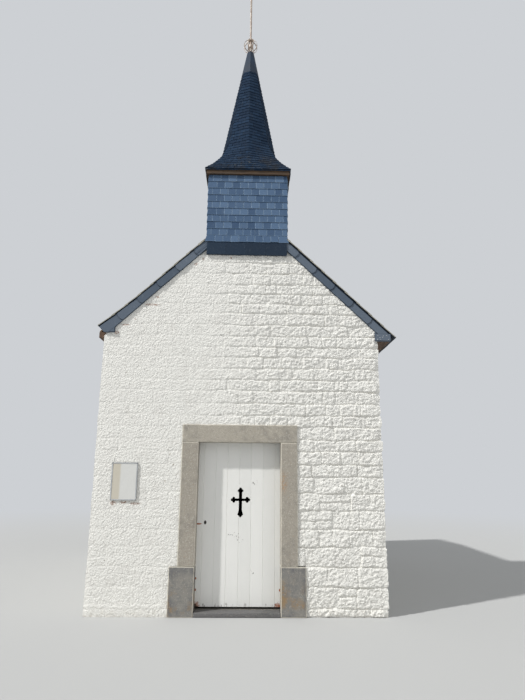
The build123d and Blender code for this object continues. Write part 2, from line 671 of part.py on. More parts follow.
# Wrought iron basket of bowed ribs between two collars
with BuildPart() as basket:
    for z in (CAP_TOP, BASKET_TOP - COLLAR_HEIGHT):
        with BuildSketch(on_belfry(z)) as collar:
            RegularPolygon(COLLAR_RADIUS, BASKET_RIBS, major_radius=False)
        extrude(collar.sketch, amount=COLLAR_HEIGHT)
    rib_foot = COLLAR_RADIUS - RIB_THICKNESS
    rib_low = CAP_TOP + COLLAR_HEIGHT / 2
    rib_high = BASKET_TOP - COLLAR_HEIGHT / 2
    rib_middle = (rib_low + rib_high) / 2
    half_rib = RIB_THICKNESS / 2
    with BuildSketch(Plane(origin=(0, BELFRY_Y, 0), x_dir=(1, 0, 0), z_dir=(0, -1, 0))) as rib:
        with BuildLine():
            outside = ThreePointArc(
                (rib_foot, rib_low - half_rib), (BASKET_RADIUS, rib_middle), (rib_foot, rib_high + half_rib)
            )
            inside = ThreePointArc(
                (rib_foot, rib_low + half_rib),
                (BASKET_RADIUS - RIB_THICKNESS, rib_middle),
                (rib_foot, rib_high - half_rib),
            )
            Line(outside @ 0, inside @ 0)
            Line(outside @ 1, inside @ 1)
        make_face()
    bowed = extrude(rib.sketch, amount=RIB_WIDTH / 2, both=True, mode=Mode.PRIVATE)
    upright_axis = Axis((0, BELFRY_Y, 0), (0, 0, 1))
    for n in range(BASKET_RIBS):
        add(bowed.rotate(upright_axis, (n + 0.5) * 360 / BASKET_RIBS))
    with BuildSketch(on_belfry(CAP_TOP)) as hole:
        Circle(ROD_HOLE)
    extrude(hole.sketch, amount=BASKET_HEIGHT, mode=Mode.SUBTRACT)
finish(basket, "finial_basket")


def cross_outline(size=1):
    """A cross centred on its arms: trefoil head and arms, and a shouldered foot with a point."""
    bar, shaft = CROSS_BAR * size, CROSS_SHAFT * size
    head, foot, arm = CROSS_HEAD * size, CROSS_FOOT * size, CROSS_ARM * size
    lobe, spread, seat = LOBE_RADIUS * size, LOBE_SPREAD * size, LOBE_SEAT * size
    Rectangle(2 * (arm - lobe), bar)
    with Locations((0, (head - lobe - foot + FOOT_FLARE * size) / 2)):
        Rectangle(shaft, head - lobe + foot - FOOT_FLARE * size)
    for along, tip in ((Vector(0, 1), head), (Vector(1, 0), arm), (Vector(-1, 0), arm)):
        across = Vector(along.Y, along.X)
        middles = (along * (tip - lobe), along * (tip - seat) + across * spread)
        with Locations(*middles, along * (tip - seat) - across * spread):
            Circle(lobe)
    Polygon(
        (-shaft / 2, FOOT_FLARE * size - foot),
        (-FOOT_NECK_HALF * size, FOOT_NECK * size - foot),
        (-FOOT_HALF * size, FOOT_SHOULDER * size - foot),
        (0, -foot),
        (FOOT_HALF * size, FOOT_SHOULDER * size - foot),
        (FOOT_NECK_HALF * size, FOOT_NECK * size - foot),
        (shaft / 2, FOOT_FLARE * size - foot),
        align=None,
    )


# Rod through cap and basket, with a knob inside the basket and a flat forged cross at its head
ROD_BOTTOM = CAP_TOP - CAP_WALL
ROD_TOP = ROD_BOTTOM + ROD_LENGTH
with BuildPart() as finial_cross:
    knob_bottom = (CAP_TOP + BASKET_TOP - KNOB_HEIGHT) / 2
    with BuildSketch(on_belfry(knob_bottom)) as knob:
        RegularPolygon(KNOB_RADIUS, SPIRE_FACE_COUNT)
    extrude(knob.sketch, amount=KNOB_HEIGHT)
    ends = finial_cross.faces().filter_by(Axis.Z).edges()
    chamfer(ends, length=KNOB_CHAMFER)
    for z, height, radius in (
        (ROD_BOTTOM, ROD_LENGTH, ROD_RADIUS),
        (BASKET_TOP, SHOULDER_HEIGHT, SHOULDER_RADIUS),
    ):
        with BuildSketch(on_belfry(z)) as rod:
            Circle(radius)
        extrude(rod.sketch, amount=height)
    centre = ROD_TOP + (CROSS_FOOT - FOOT_SHOULDER) * FINIAL_CROSS_SCALE
    with BuildSketch(Plane(origin=(0, BELFRY_Y, centre), x_dir=(1, 0, 0), z_dir=(0, -1, 0))) as cross:
        cross_outline(FINIAL_CROSS_SCALE)
    extrude(cross.sketch, amount=FINIAL_CROSS_THICKNESS / 2, both=True)
finish(finial_cross, "finial_cross")

# Notice panel on two battens, on the wall to the left of the door
with BuildPart() as notice:
    panel_x = DOOR_X - NOTICE_FROM_DOOR
    face_y = (FRONT - BATTEN_DEPTH - NOTICE_THICKNESS, FRONT - BATTEN_DEPTH)
    foot, head = NOTICE_MIDDLE - NOTICE_HEIGHT / 2, NOTICE_MIDDLE + NOTICE_HEIGHT / 2
    block((panel_x - NOTICE_WIDTH / 2, panel_x + NOTICE_WIDTH / 2), face_y, (foot, head))
    reach = NOTICE_WIDTH / 2 - BATTEN_SIDE
    for low in (foot + BATTEN_INSET, head - BATTEN_INSET - BATTEN_WIDTH):
        block((panel_x - reach, panel_x + reach), (face_y[1], FRONT), (low, low + BATTEN_WIDTH))
finish(notice, "notice_panel")

# Door leaf: upright boards with V joints on both faces, pierced by the cross and the keyhole
with BuildPart() as leaf:
    across = (DOOR_X - LEAF_HALF, DOOR_X + LEAF_HALF)
    block(across, (LEAF_FRONT, LEAF_BACK), (LEAF_BOTTOM, LEAF_TOP))
    joints_each_side = int(LEAF_HALF // BOARD_PITCH)
    for n in range(-joints_each_side, joints_each_side + 1):
        joint = DOOR_X + n * BOARD_PITCH
        for face, inward in ((LEAF_FRONT, 1), (LEAF_BACK, -1)):
            with BuildSketch(Plane.XY.offset(LEAF_BOTTOM)) as groove:
                with BuildLine():
                    Polyline(
                        (joint - BOARD_GROOVE_WIDTH / 2, face),
                        (joint + BOARD_GROOVE_WIDTH / 2, face),
                        (joint, face + inward * BOARD_GROOVE_DEPTH),
                        close=True,
                    )
                make_face()
            extrude(groove.sketch, amount=LEAF_TOP - LEAF_BOTTOM, mode=Mode.SUBTRACT)
    cross_middle = (DOOR_X + CROSS_CENTRING, LEAF_BACK, CROSS_MIDDLE)
    with BuildSketch(Plane(origin=cross_middle, x_dir=(1, 0, 0), z_dir=(0, -1, 0))) as cross_hole:
        cross_outline()
    extrude(cross_hole.sketch, amount=BOARD_THICKNESS, mode=Mode.SUBTRACT)
    key_x = DOOR_X - OPENING_HALF + KEYHOLE_INSET
    key_face = Plane(origin=(key_x, LEAF_BACK, KEYHOLE_HEIGHT), x_dir=(1, 0, 0), z_dir=(0, -1, 0))
    with BuildSketch(key_face) as keyhole:
        Circle(KEYHOLE_RADIUS)
        with Locations((0, -KEYHOLE_SLOT / 2)):
            Rectangle(KEYHOLE_SLOT_WIDTH, KEYHOLE_SLOT)
    extrude(keyhole.sketch, amount=BOARD_THICKNESS, mode=Mode.SUBTRACT)
finish(leaf, "door_leaf")

# Three ledges across the back of the boards, with a brace in the bay below the cross
LEDGE_HEIGHTS = (
    LEAF_BOTTOM + LEDGE_FROM_FOOT,
    KEYHOLE_HEIGHT - (LOCK_HEIGHT + LEDGE_HEIGHT) / 2 - LEDGE_BELOW_LOCK,
    LEAF_TOP - LEDGE_FROM_HEAD,
)
with BuildPart() as ledges:
    ledge_x = (DOOR_X - LEAF_HALF + LEDGE_END, DOOR_X + LEAF_HALF - LEDGE_END)
    for middle in LEDGE_HEIGHTS:
        block(ledge_x, (LEAF_BACK, LEDGE_BACK), (middle - LEDGE_HEIGHT / 2, middle + LEDGE_HEIGHT / 2))
    foot, head = LEDGE_HEIGHTS[0] + LEDGE_HEIGHT / 2, LEDGE_HEIGHTS[1] - LEDGE_HEIGHT / 2
    outline = [
        (ledge_x[1], foot),
        (ledge_x[1] - BRACE_WIDTH, foot),
        (ledge_x[0], head),
        (ledge_x[0] + BRACE_WIDTH, head),
    ]
    upright(outline, (LEAF_BACK, LEDGE_BACK))
finish(ledges, "door_ledges")

# Strap hinges on the lowest and highest ledge, each with an eye round its pintle
EYE_HEIGHTS = (LEDGE_HEIGHTS[0], LEDGE_HEIGHTS[-1])
with BuildPart() as straps:
    for middle in EYE_HEIGHTS:
        block(
            (PIN_X - STRAP_LENGTH, PIN_X),
            (LEDGE_BACK, LEDGE_BACK + STRAP_THICKNESS),
            (middle - STRAP_WIDTH / 2, middle + STRAP_WIDTH / 2),
        )
        with BuildSketch(Plane((PIN_X, PIN_Y, middle - EYE_HEIGHT / 2), (1, 0, 0), (0, 0, 1))) as eye:
            Circle(EYE_RADIUS)
        extrude(eye.sketch, amount=EYE_HEIGHT)
    for middle in EYE_HEIGHTS:
        with BuildSketch(Plane((PIN_X, PIN_Y, middle - EYE_HEIGHT / 2), (1, 0, 0), (0, 0, 1))) as bore:
            Circle(PIN_RADIUS + PIN_CLEARANCE)
        extrude(bore.sketch, amount=EYE_HEIGHT, mode=Mode.SUBTRACT)
finish(straps, "door_straps")

with BuildPart() as lock:
    lock_left = DOOR_X - LEAF_HALF + LEAF_GAP
    block(
        (lock_left, lock_left + LOCK_LENGTH),
        (LEAF_BACK, LEAF_BACK + LOCK_DEPTH),
        (KEYHOLE_HEIGHT - LOCK_HEIGHT / 2, KEYHOLE_HEIGHT + LOCK_HEIGHT / 2),
    )
    chamfer(lock.faces().sort_by(Axis.Y)[-1].edges(), length=LOCK_CHAMFER)
finish(lock, "door_lock")

# Pintles: a pin on an arm from a plate on the right-hand reveal
with BuildPart() as pintles:
    reveal = DOOR_X + EMBRASURE_HALF
    for middle in EYE_HEIGHTS:
        arm_top = middle - EYE_HEIGHT / 2 - PIN_CLEARANCE
        arm = (arm_top - PINTLE_ARM, arm_top)
        block((PIN_X - EYE_RADIUS, reveal), (PIN_Y - PINTLE_ARM / 2, PIN_Y + PINTLE_ARM / 2), arm)
        plate_z = (arm[0] + arm[1]) / 2
        block(
            (reveal - PINTLE_PLATE_THICKNESS, reveal),
            (PIN_Y - PINTLE_PLATE / 2, PIN_Y + PINTLE_PLATE / 2),
            (plate_z - PINTLE_PLATE / 2, plate_z + PINTLE_PLATE / 2),
        )
        with BuildSketch(Plane((PIN_X, PIN_Y, arm_top), (1, 0, 0), (0, 0, 1))) as pin:
            Circle(PIN_RADIUS)
        extrude(pin.sketch, amount=EYE_HEIGHT + PIN_RADIUS)
finish(pintles, "door_pintles")
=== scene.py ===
"""Looks of a small limewashed chapel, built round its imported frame."""

import logging
import math
import random
from abc import ABC, abstractmethod
from bisect import bisect_right
from collections.abc import Callable, Iterable, Sequence
from dataclasses import dataclass, field
from enum import Enum
from functools import cached_property, lru_cache, partial

import bmesh
import bpy
from mathutils import Matrix, Vector, noise


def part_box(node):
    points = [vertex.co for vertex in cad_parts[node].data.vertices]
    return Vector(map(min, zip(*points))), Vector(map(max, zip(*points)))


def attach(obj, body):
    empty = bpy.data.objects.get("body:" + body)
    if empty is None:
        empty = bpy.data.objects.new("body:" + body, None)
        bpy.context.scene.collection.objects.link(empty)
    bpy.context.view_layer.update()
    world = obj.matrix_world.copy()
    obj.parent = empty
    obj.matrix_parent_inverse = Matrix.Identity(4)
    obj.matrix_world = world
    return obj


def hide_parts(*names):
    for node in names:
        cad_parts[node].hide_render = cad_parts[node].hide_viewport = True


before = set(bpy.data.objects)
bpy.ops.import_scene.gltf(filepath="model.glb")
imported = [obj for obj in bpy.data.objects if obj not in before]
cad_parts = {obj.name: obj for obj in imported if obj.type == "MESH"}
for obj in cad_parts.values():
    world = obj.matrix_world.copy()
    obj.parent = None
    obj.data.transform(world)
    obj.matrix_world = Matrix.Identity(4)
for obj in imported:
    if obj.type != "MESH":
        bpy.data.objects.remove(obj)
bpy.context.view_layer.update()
LOG = logging.getLogger("chapel")

Pair = tuple[float, float]
Colour = tuple[float, float, float, float]
Edge = Callable[[float], tuple[Vector, Vector]]
UP = Vector((0, 0, 1))
SIDES = ((-1, "left"), (1, "right"))
MARK_DEPTH = 0.2
MERGE = 1e-6


def colour(red: int, green: int, blue: int) -> Colour:
    """Turns a colour as a screen shows it, from 0 to 255, into the linear one that a shader takes."""
    shown = (channel / 255 for channel in (red, green, blue))
    return (*(c / 12.92 if c <= 0.04045 else ((c + 0.055) / 1.055) ** 2.4 for c in shown), 1.0)


def smoothstep(low: float, high: float, value: float) -> float:
    """Goes smoothly from 0 at the low value to 1 at the high one, or falls where low is the higher."""
    share = min(max((value - low) / (high - low), 0.0), 1.0)
    return share * share * (3 - 2 * share)


class Signal:
    """A shader socket that stands in Python expressions on values."""

    def __init__(self, graph: "Graph", socket: bpy.types.NodeSocket) -> None:
        """Keeps the socket and the graph that it belongs to."""
        self.graph = graph
        self.socket = socket

    def maths(self, operation: str, *values: "Signal | float") -> "Signal":
        """Adds a Math node with that operation on those inputs, in order."""
        return self.graph.node("ShaderNodeMath", {"operation": operation}, dict(enumerate(values)))

    def __add__(self, other: "Signal | float") -> "Signal":
        """Adds."""
        return self.maths("ADD", self, other)

    def __sub__(self, other: "Signal | float") -> "Signal":
        """Subtracts."""
        return self.maths("SUBTRACT", self, other)

    def __rsub__(self, other: float) -> "Signal":
        """Subtracts from a number."""
        return self.maths("SUBTRACT", other, self)

    def __mul__(self, other: "Signal | float") -> "Signal":
        """Multiplies."""
        return self.maths("MULTIPLY", self, other)

    def __truediv__(self, other: "Signal | float") -> "Signal":
        """Divides."""
        return self.maths("DIVIDE", self, other)

    __radd__ = __add__
    __rmul__ = __mul__

    def floor(self) -> "Signal":
        """Rounds down."""
        return self.maths("FLOOR", self)

    def smooth(self, low: float, high: float) -> "Signal":
        """Rises smoothly from 0 to 1 between two values, or falls where low is the higher.

        Args:
            low: The value that gives 0.
            high: The value that gives 1.

        Returns:
            The smoothed share.
        """
        settings = {"interpolation_type": "SMOOTHSTEP"}
        inputs = {0: self, 1: min(low, high), 2: max(low, high), 3: float(low > high), 4: float(low <= high)}
        return self.graph.node("ShaderNodeMapRange", settings, inputs)


class Graph:
    """The node tree of one material, or of the world."""

    material: bpy.types.Material | None = None

    def __init__(self, tree: bpy.types.NodeTree) -> None:
        """Empties a tree."""
        self.tree = tree
        self.tree.nodes.clear()

    @cached_property
    def place(self) -> Signal:
        """The place on the object."""
        return self.node("ShaderNodeTexCoord", {}, {}, "Object")

    @staticmethod
    def of_material(name: str) -> "Graph":
        """Starts an empty material.

        Args:
            name: The material's name.

        Returns:
            The graph, which keeps its material too.
        """
        material = bpy.data.materials.new(name)
        material.use_nodes = True
        graph = Graph(material.node_tree)
        graph.material = material
        return graph

    def node(self, kind: str, settings: dict, inputs: dict, output: int | str = 0) -> Signal | None:
        """Adds any node.

        Args:
            kind: The node's type.
            settings: Its own settings, which are set first.
            inputs: Values or signals for its sockets, by name or place.
            output: The socket to hand back.

        Returns:
            The chosen output, or None where the node has none.
        """
        made = self.tree.nodes.new(kind)
        for name, value in settings.items():
            setattr(made, name, value)
        for name, value in inputs.items():
            if isinstance(value, Signal):
                self.tree.links.new(value.socket, made.inputs[name])
            else:
                made.inputs[name].default_value = value
        return Signal(self, made.outputs[output]) if len(made.outputs) else None

    def axes(self) -> tuple[Signal, Signal, Signal]:
        """Splits the place on the object into x, y and z."""
        split = {"Vector": self.place}
        return tuple(self.node("ShaderNodeSeparateXYZ", {}, split, axis) for axis in "XYZ")

    def stretched(self, x: float, y: float, z: float) -> Signal:
        """Scales the place on the object along x, y and z, for a pattern that runs one way."""
        inputs = {"Vector": self.place, "Scale": (x, y, z)}
        return self.node("ShaderNodeMapping", {}, inputs)

    def noise(self, scale: float, detail: float = 3, rough: float = 0.55, at: Signal | None = None) -> Signal:
        """Adds a cloudy value about one half, with finer layers of some strength on top."""
        inputs = {"Vector": at or self.place, "Scale": scale, "Detail": detail, "Roughness": rough}
        return self.node("ShaderNodeTexNoise", {}, inputs)

    def cells(self, scale: float, at: Signal | None = None) -> Signal:
        """Gives the distance from the middles of rounded cells, so many for each metre."""
        return self.node("ShaderNodeTexVoronoi", {}, {"Vector": at or self.place, "Scale": scale}, "Distance")

    def blend(self, share: Signal, first: Signal | Colour, second: Signal | Colour) -> Signal:
        """Mixes two colours, of which the second shows by the share."""
        return self.node("ShaderNodeMix", {"data_type": "RGBA"}, {0: share, 6: first, 7: second}, 2)

    def spot(self, face: float, place: Pair, reach: Pair) -> Signal:
        """Marks the place round a point of an upright face.

        Args:
            face: Where the face stands along y.
            place: The point's x and z.
            reach: How far the mark goes along x and z.

        Returns:
            1 at the point, falling to 0 at its reach.
        """
        radii = (reach[0], MARK_DEPTH, reach[1])
        inputs = {"Vector": self.place, "Scale": [1 / radius for radius in radii]}
        inputs["Location"] = [-at / radius for at, radius in zip((place[0], face, place[1]), radii)]
        near = self.node("ShaderNodeMapping", {}, inputs)
        return self.node("ShaderNodeVectorMath", {"operation": "LENGTH"}, {0: near}, "Value").smooth(1, 0)

    def surface(
        self,
        base: Signal | Colour,
        rough: Signal | float,
        relief: Signal,
        depth: float,
        metal: float = 0.0,
        shine: float = 0.5,
    ) -> bpy.types.Material:
        """Ends the graph in an opaque surface.

        Args:
            base: Its colour.
            rough: Its roughness.
            relief: The height of its fine relief, from 0 to 1.
            depth: What a height of 1 stands for, in metres.
            metal: Whether it is metal.
            shine: The strength of its reflections.

        Returns:
            The material.
        """
        normal = self.node("ShaderNodeBump", {}, {"Height": relief, "Distance": depth, "Strength": 1.0})
        inputs = {"Base Color": base, "Roughness": rough, "Metallic": metal, "Specular IOR Level": shine}
        inputs["Normal"] = normal
        shader = self.node("ShaderNodeBsdfPrincipled", {}, inputs)
        self.node("ShaderNodeOutputMaterial", {}, {"Surface": shader})
        return self.material


class Finish(ABC):
    """What a surface is made of and how it has aged."""

    name: str

    @abstractmethod
    def compose(self, graph: Graph) -> bpy.types.Material:
        """Fills a graph with this finish.

        Args:
            graph: The empty graph.

        Returns:
            The finished material.
        """

    @lru_cache(maxsize=None)
    def material(self) -> bpy.types.Material:
        """Gives the one material of this finish."""
        return self.compose(Graph.of_material(self.name))


@dataclass(frozen=True)
class Limewash(Finish):
    """Thick limewash over stone, knobbly, splashed near the ground and stained below the bargeboard."""

    name: str = "limewash"
    wash: Colour = colour(236, 234, 227)
    # thinner wash; it also serves as painted shade in the hollows between the knobs
    thin: Colour = colour(220, 217, 210)
    splash: Colour = colour(186, 178, 164)
    bare: Colour = colour(146, 132, 112)
    # painted shade: the colour of small dark specks that stand in for the shadows in pits
    pit_shade: Colour = colour(184, 180, 171)
    rust: Colour = colour(140, 96, 72)
    splash_height: float = 0.3
    rust_marks: tuple[tuple[float, float, float, float], ...] = (
        (-1.18, 3.553, 0.105, 0.02), (-1.1, 3.55, 0.06, 0.014), (-1.47, 3.29, 0.075, 0.014),
        (-1.568, 3.19, 0.04, 0.03), (-0.64, 4.098, 0.032, 0.028), (-0.55, 4.166, 0.018, 0.028),
        (-1.1, 3.652, 0.034, 0.018), (-1.356, 3.362, 0.014, 0.013), (-0.2, 4.19, 0.022, 0.022),
        (-1.47, 1.19, 0.05, 0.035), (-1.36, 1.2, 0.06, 0.024), (-1.22, 1.185, 0.09, 0.018),
    )
    pits: tuple[Pair, ...] = ((-0.853, 1.741), (-0.896, 1.437), (-0.81, 1.62))
    pit_reach: Pair = (0.014, 0.012)
    rough: float = 0.84
    shine: float = 0.3
    relief: float = 0.017

    def compose(self, graph: Graph) -> bpy.types.Material:
        """Mixes wash, splashes, chips, rust and pits over a knobbly relief, with painted shade in its hollows
        and specks.

        Args:
            graph: The empty graph.

        Returns:
            The finished material.
        """
        _, _, z = graph.axes()
        blotches = graph.noise(7, 5, 0.62)
        knobs = graph.cells(46)
        fine_knobs = graph.cells(105)
        broken = graph.noise(48, 4, 0.7)
        grain = graph.noise(240, 2)
        tone = graph.blend(blotches.smooth(0.5, 0.72) * 0.5, self.wash, self.thin)
        runs = graph.noise(1, 4, 0.6, graph.stretched(16, 16, 0.8)).smooth(0.6, 0.8)
        tone = graph.blend(runs * 0.25, tone, self.thin)
        # painted shade: the wash is darkened in the hollows between the knobs
        tone = graph.blend(knobs.smooth(0.5, 0.85) * 0.6, tone, self.thin)
        # painted shade: dark specks standing in for the shadows in the wash's pits
        tone = graph.blend(broken.smooth(0.6, 0.74) * 0.45, tone, self.pit_shade)
        damp = (z + blotches * 0.3).smooth(self.splash_height, 0.08) * graph.noise(22, 4).smooth(0.42, 0.7)
        tone = graph.blend(damp * 0.6, tone, self.splash)
        chips = graph.noise(34, 3).smooth(0.7, 0.73) * graph.noise(2.6, 2).smooth(0.58, 0.66)
        tone = graph.blend(chips, tone, self.bare)
        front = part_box("front_wall_left")[0].y
        patchy = graph.noise(70, 4, 0.6).smooth(0.36, 0.6)
        for x, height, wide, tall in self.rust_marks:
            mark = graph.spot(front, (x, height), (wide, tall)).smooth(0, 0.5)
            tone = graph.blend(mark * patchy * 0.85, tone, self.rust)
        for pit in self.pits:
            tone = graph.blend(graph.spot(front, pit, self.pit_reach), tone, self.bare)
        relief = (1 - knobs) * 0.4 + (1 - fine_knobs) * 0.16 + broken * 0.5 + blotches * 0.2 + grain * 0.05
        relief = relief - chips * 0.15
        return graph.surface(tone, blotches * 0.1 + self.rough, relief, self.relief, shine=self.shine)


@dataclass(frozen=True)
class Limestone(Finish):
    """Dressed limestone with a pecked face, weathered in warm and grey blotches, with rust at its foot."""

    name: str = "limestone"
    face: Colour = colour(170, 163, 150)
    dark: Colour = colour(128, 124, 117)
    pale: Colour = colour(198, 192, 179)
    rust: Colour = colour(150, 124, 88)
    weathering: float = 0.4
    stained_below: float = 0.0
    stains: tuple[tuple[float, float, float, float], ...] = ()
    rough: float = 0.78
    shine: float = 0.3
    relief: float = 0.0045

    def compose(self, graph: Graph) -> bpy.types.Material:
        """Mixes blotches, pecked specks and rust over tooling.

        Args:
            graph: The empty graph.

        Returns:
            The finished material.
        """
        _, _, z = graph.axes()
        broad = graph.noise(3.4, 5, 0.62)
        blotches = graph.noise(16, 5, 0.6)
        pecks = graph.cells(88)
        tooling = graph.noise(1, 2, 0.5, graph.stretched(260, 260, 26))
        grain = graph.noise(330, 2)
        edge = 1 - self.weathering
        dark_patch = (broad * 0.6 + blotches * 0.4).smooth(edge - 0.14, edge + 0.12)
        tone = graph.blend(dark_patch, self.face, self.dark)
        tone = graph.blend(graph.noise(64, 4, 0.7).smooth(0.53, 0.64) * 0.6, tone, self.pale)
        tone = graph.blend(graph.noise(78, 4, 0.7).smooth(0.54, 0.66) * 0.55, tone, self.dark)
        tone = graph.blend(pecks.smooth(0.3, 0.08) * 0.35, tone, self.dark)
        tone = graph.blend(graph.noise(36, 4, 0.6).smooth(0.62, 0.72) * 0.5, tone, self.rust)
        soft, specks = graph.noise(7, 4, 0.6), graph.noise(52, 5, 0.7).smooth(0.38, 0.62)
        low = z.smooth(self.stained_below, self.stained_below - 0.3)
        tone = graph.blend(soft.smooth(0.48, 0.66) * low * 0.7, tone, self.rust)
        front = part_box("door_lintel")[0].y
        for x, height, wide, tall in self.stains:
            stain = graph.spot(front, (x, height), (wide, tall)) + soft * 0.8 - 0.4
            tone = graph.blend(stain.smooth(0.05, 0.8) * specks * 0.75, tone, self.rust)
        relief = tooling * 0.2 + pecks * 0.5 + blotches * 0.3 + grain * 0.08
        return graph.surface(tone, broad * 0.12 + self.rough, relief, self.relief, shine=self.shine)


@dataclass(frozen=True)
class Slate(Finish):
    """Riven slate, each piece of its own shade, with moss and pale lichen."""

    name: str
    face: Colour
    other: Colour
    moss: Colour = colour(92, 84, 64)
    lichen: Colour = colour(150, 158, 160)
    moss_below: float = 0.0
    moss_share: float = 0.0
    lichen_share: float = 0.3
    rough: float = 0.6
    shine: float = 0.3
    relief: float = 0.0022

    def compose(self, graph: Graph) -> bpy.types.Material:
        """Mixes the shade of the piece, streaks of the riven face, moss and lichen.

        Args:
            graph: The empty graph.

        Returns:
            The finished material.
        """
        _, _, z = graph.axes()
        piece = graph.node("ShaderNodeNewGeometry", {}, {}, "Random Per Island")
        broad = graph.noise(2.2, 3)
        riven = graph.noise(1, 4, 0.62, graph.stretched(34, 34, 13))
        grain = graph.noise(190, 3)
        tone = graph.blend(piece * 0.75 + broad * 0.25, self.face, self.other)
        tone = graph.blend(riven.smooth(0.55, 0.8) * self.lichen_share * 0.6, tone, self.lichen)
        patch = (broad * 0.55 + graph.noise(13, 4, 0.6) * 0.45).smooth(0.48, 0.6)
        low = z.smooth(self.moss_below + 0.35, self.moss_below - 0.25)
        tone = graph.blend(patch * low * self.moss_share, tone, self.moss)
        flecks = graph.noise(70, 3).smooth(0.66, 0.74)
        tone = graph.blend(flecks * self.lichen_share, tone, self.lichen)
        litter = graph.noise(1, 4, 0.65, graph.stretched(26, 26, 60)).smooth(0.6, 0.68)
        tone = graph.blend(litter * low * self.moss_share * 0.7, tone, self.lichen)
        rough = riven * 0.2 + piece * 0.1 + self.rough
        return graph.surface(tone, rough, riven * 0.7 + grain * 0.3, self.relief, shine=self.shine)


@dataclass(frozen=True)
class Metal(Finish):
    """Sheet or forged metal under a dull skin, with runs or rust."""

    name: str
    skin: Colour
    other: Colour
    stain: Colour
    stained: float = 0.5
    metal: float = 0.4
    rough: float = 0.5
    scale: float = 6.0
    relief: float = 0.0012

    def compose(self, graph: Graph) -> bpy.types.Material:
        """Mixes two shades of the skin with its stains.

        Args:
            graph: The empty graph.

        Returns:
            The finished material.
        """
        broad = graph.noise(self.scale, 4, 0.6)
        runs = graph.noise(1, 4, 0.6, graph.stretched(7 * self.scale, 7 * self.scale, self.scale))
        fine = graph.noise(30 * self.scale, 3)
        tone = graph.blend(broad.smooth(0.35, 0.65), self.skin, self.other)
        edge = 1 - self.stained
        tone = graph.blend((runs * 0.6 + fine * 0.4).smooth(edge, edge + 0.16), tone, self.stain)
        rough = broad * 0.2 + fine * 0.1 + (self.rough - 0.15)
        return graph.surface(tone, rough, broad * 0.5 + fine * 0.5, self.relief, self.metal)


@dataclass(frozen=True)
class Timber(Finish):
    """Sawn timber with its grain along one axis, stained or left to age."""

    name: str
    early: Colour
    late: Colour
    weather: Colour
    along: tuple[float, float, float] = (40.0, 2.5, 40.0)
    rough: float = 0.6
    relief: float = 0.0018

    def compose(self, graph: Graph) -> bpy.types.Material:
        """Mixes early and late wood, grain lines and weathering.

        Args:
            graph: The empty graph.

        Returns:
            The finished material.
        """
        grain = graph.noise(1, 5, 0.65, graph.stretched(*self.along))
        fine = graph.noise(1, 3, 0.6, graph.stretched(*(3.2 * share for share in self.along)))
        broad = graph.noise(5, 3)
        tone = graph.blend(grain.smooth(0.38, 0.64), self.early, self.late)
        tone = graph.blend(broad.smooth(0.5, 0.72) * 0.5, tone, self.weather)
        return graph.surface(tone, grain * 0.2 + self.rough, grain * 0.6 + fine * 0.4, self.relief)


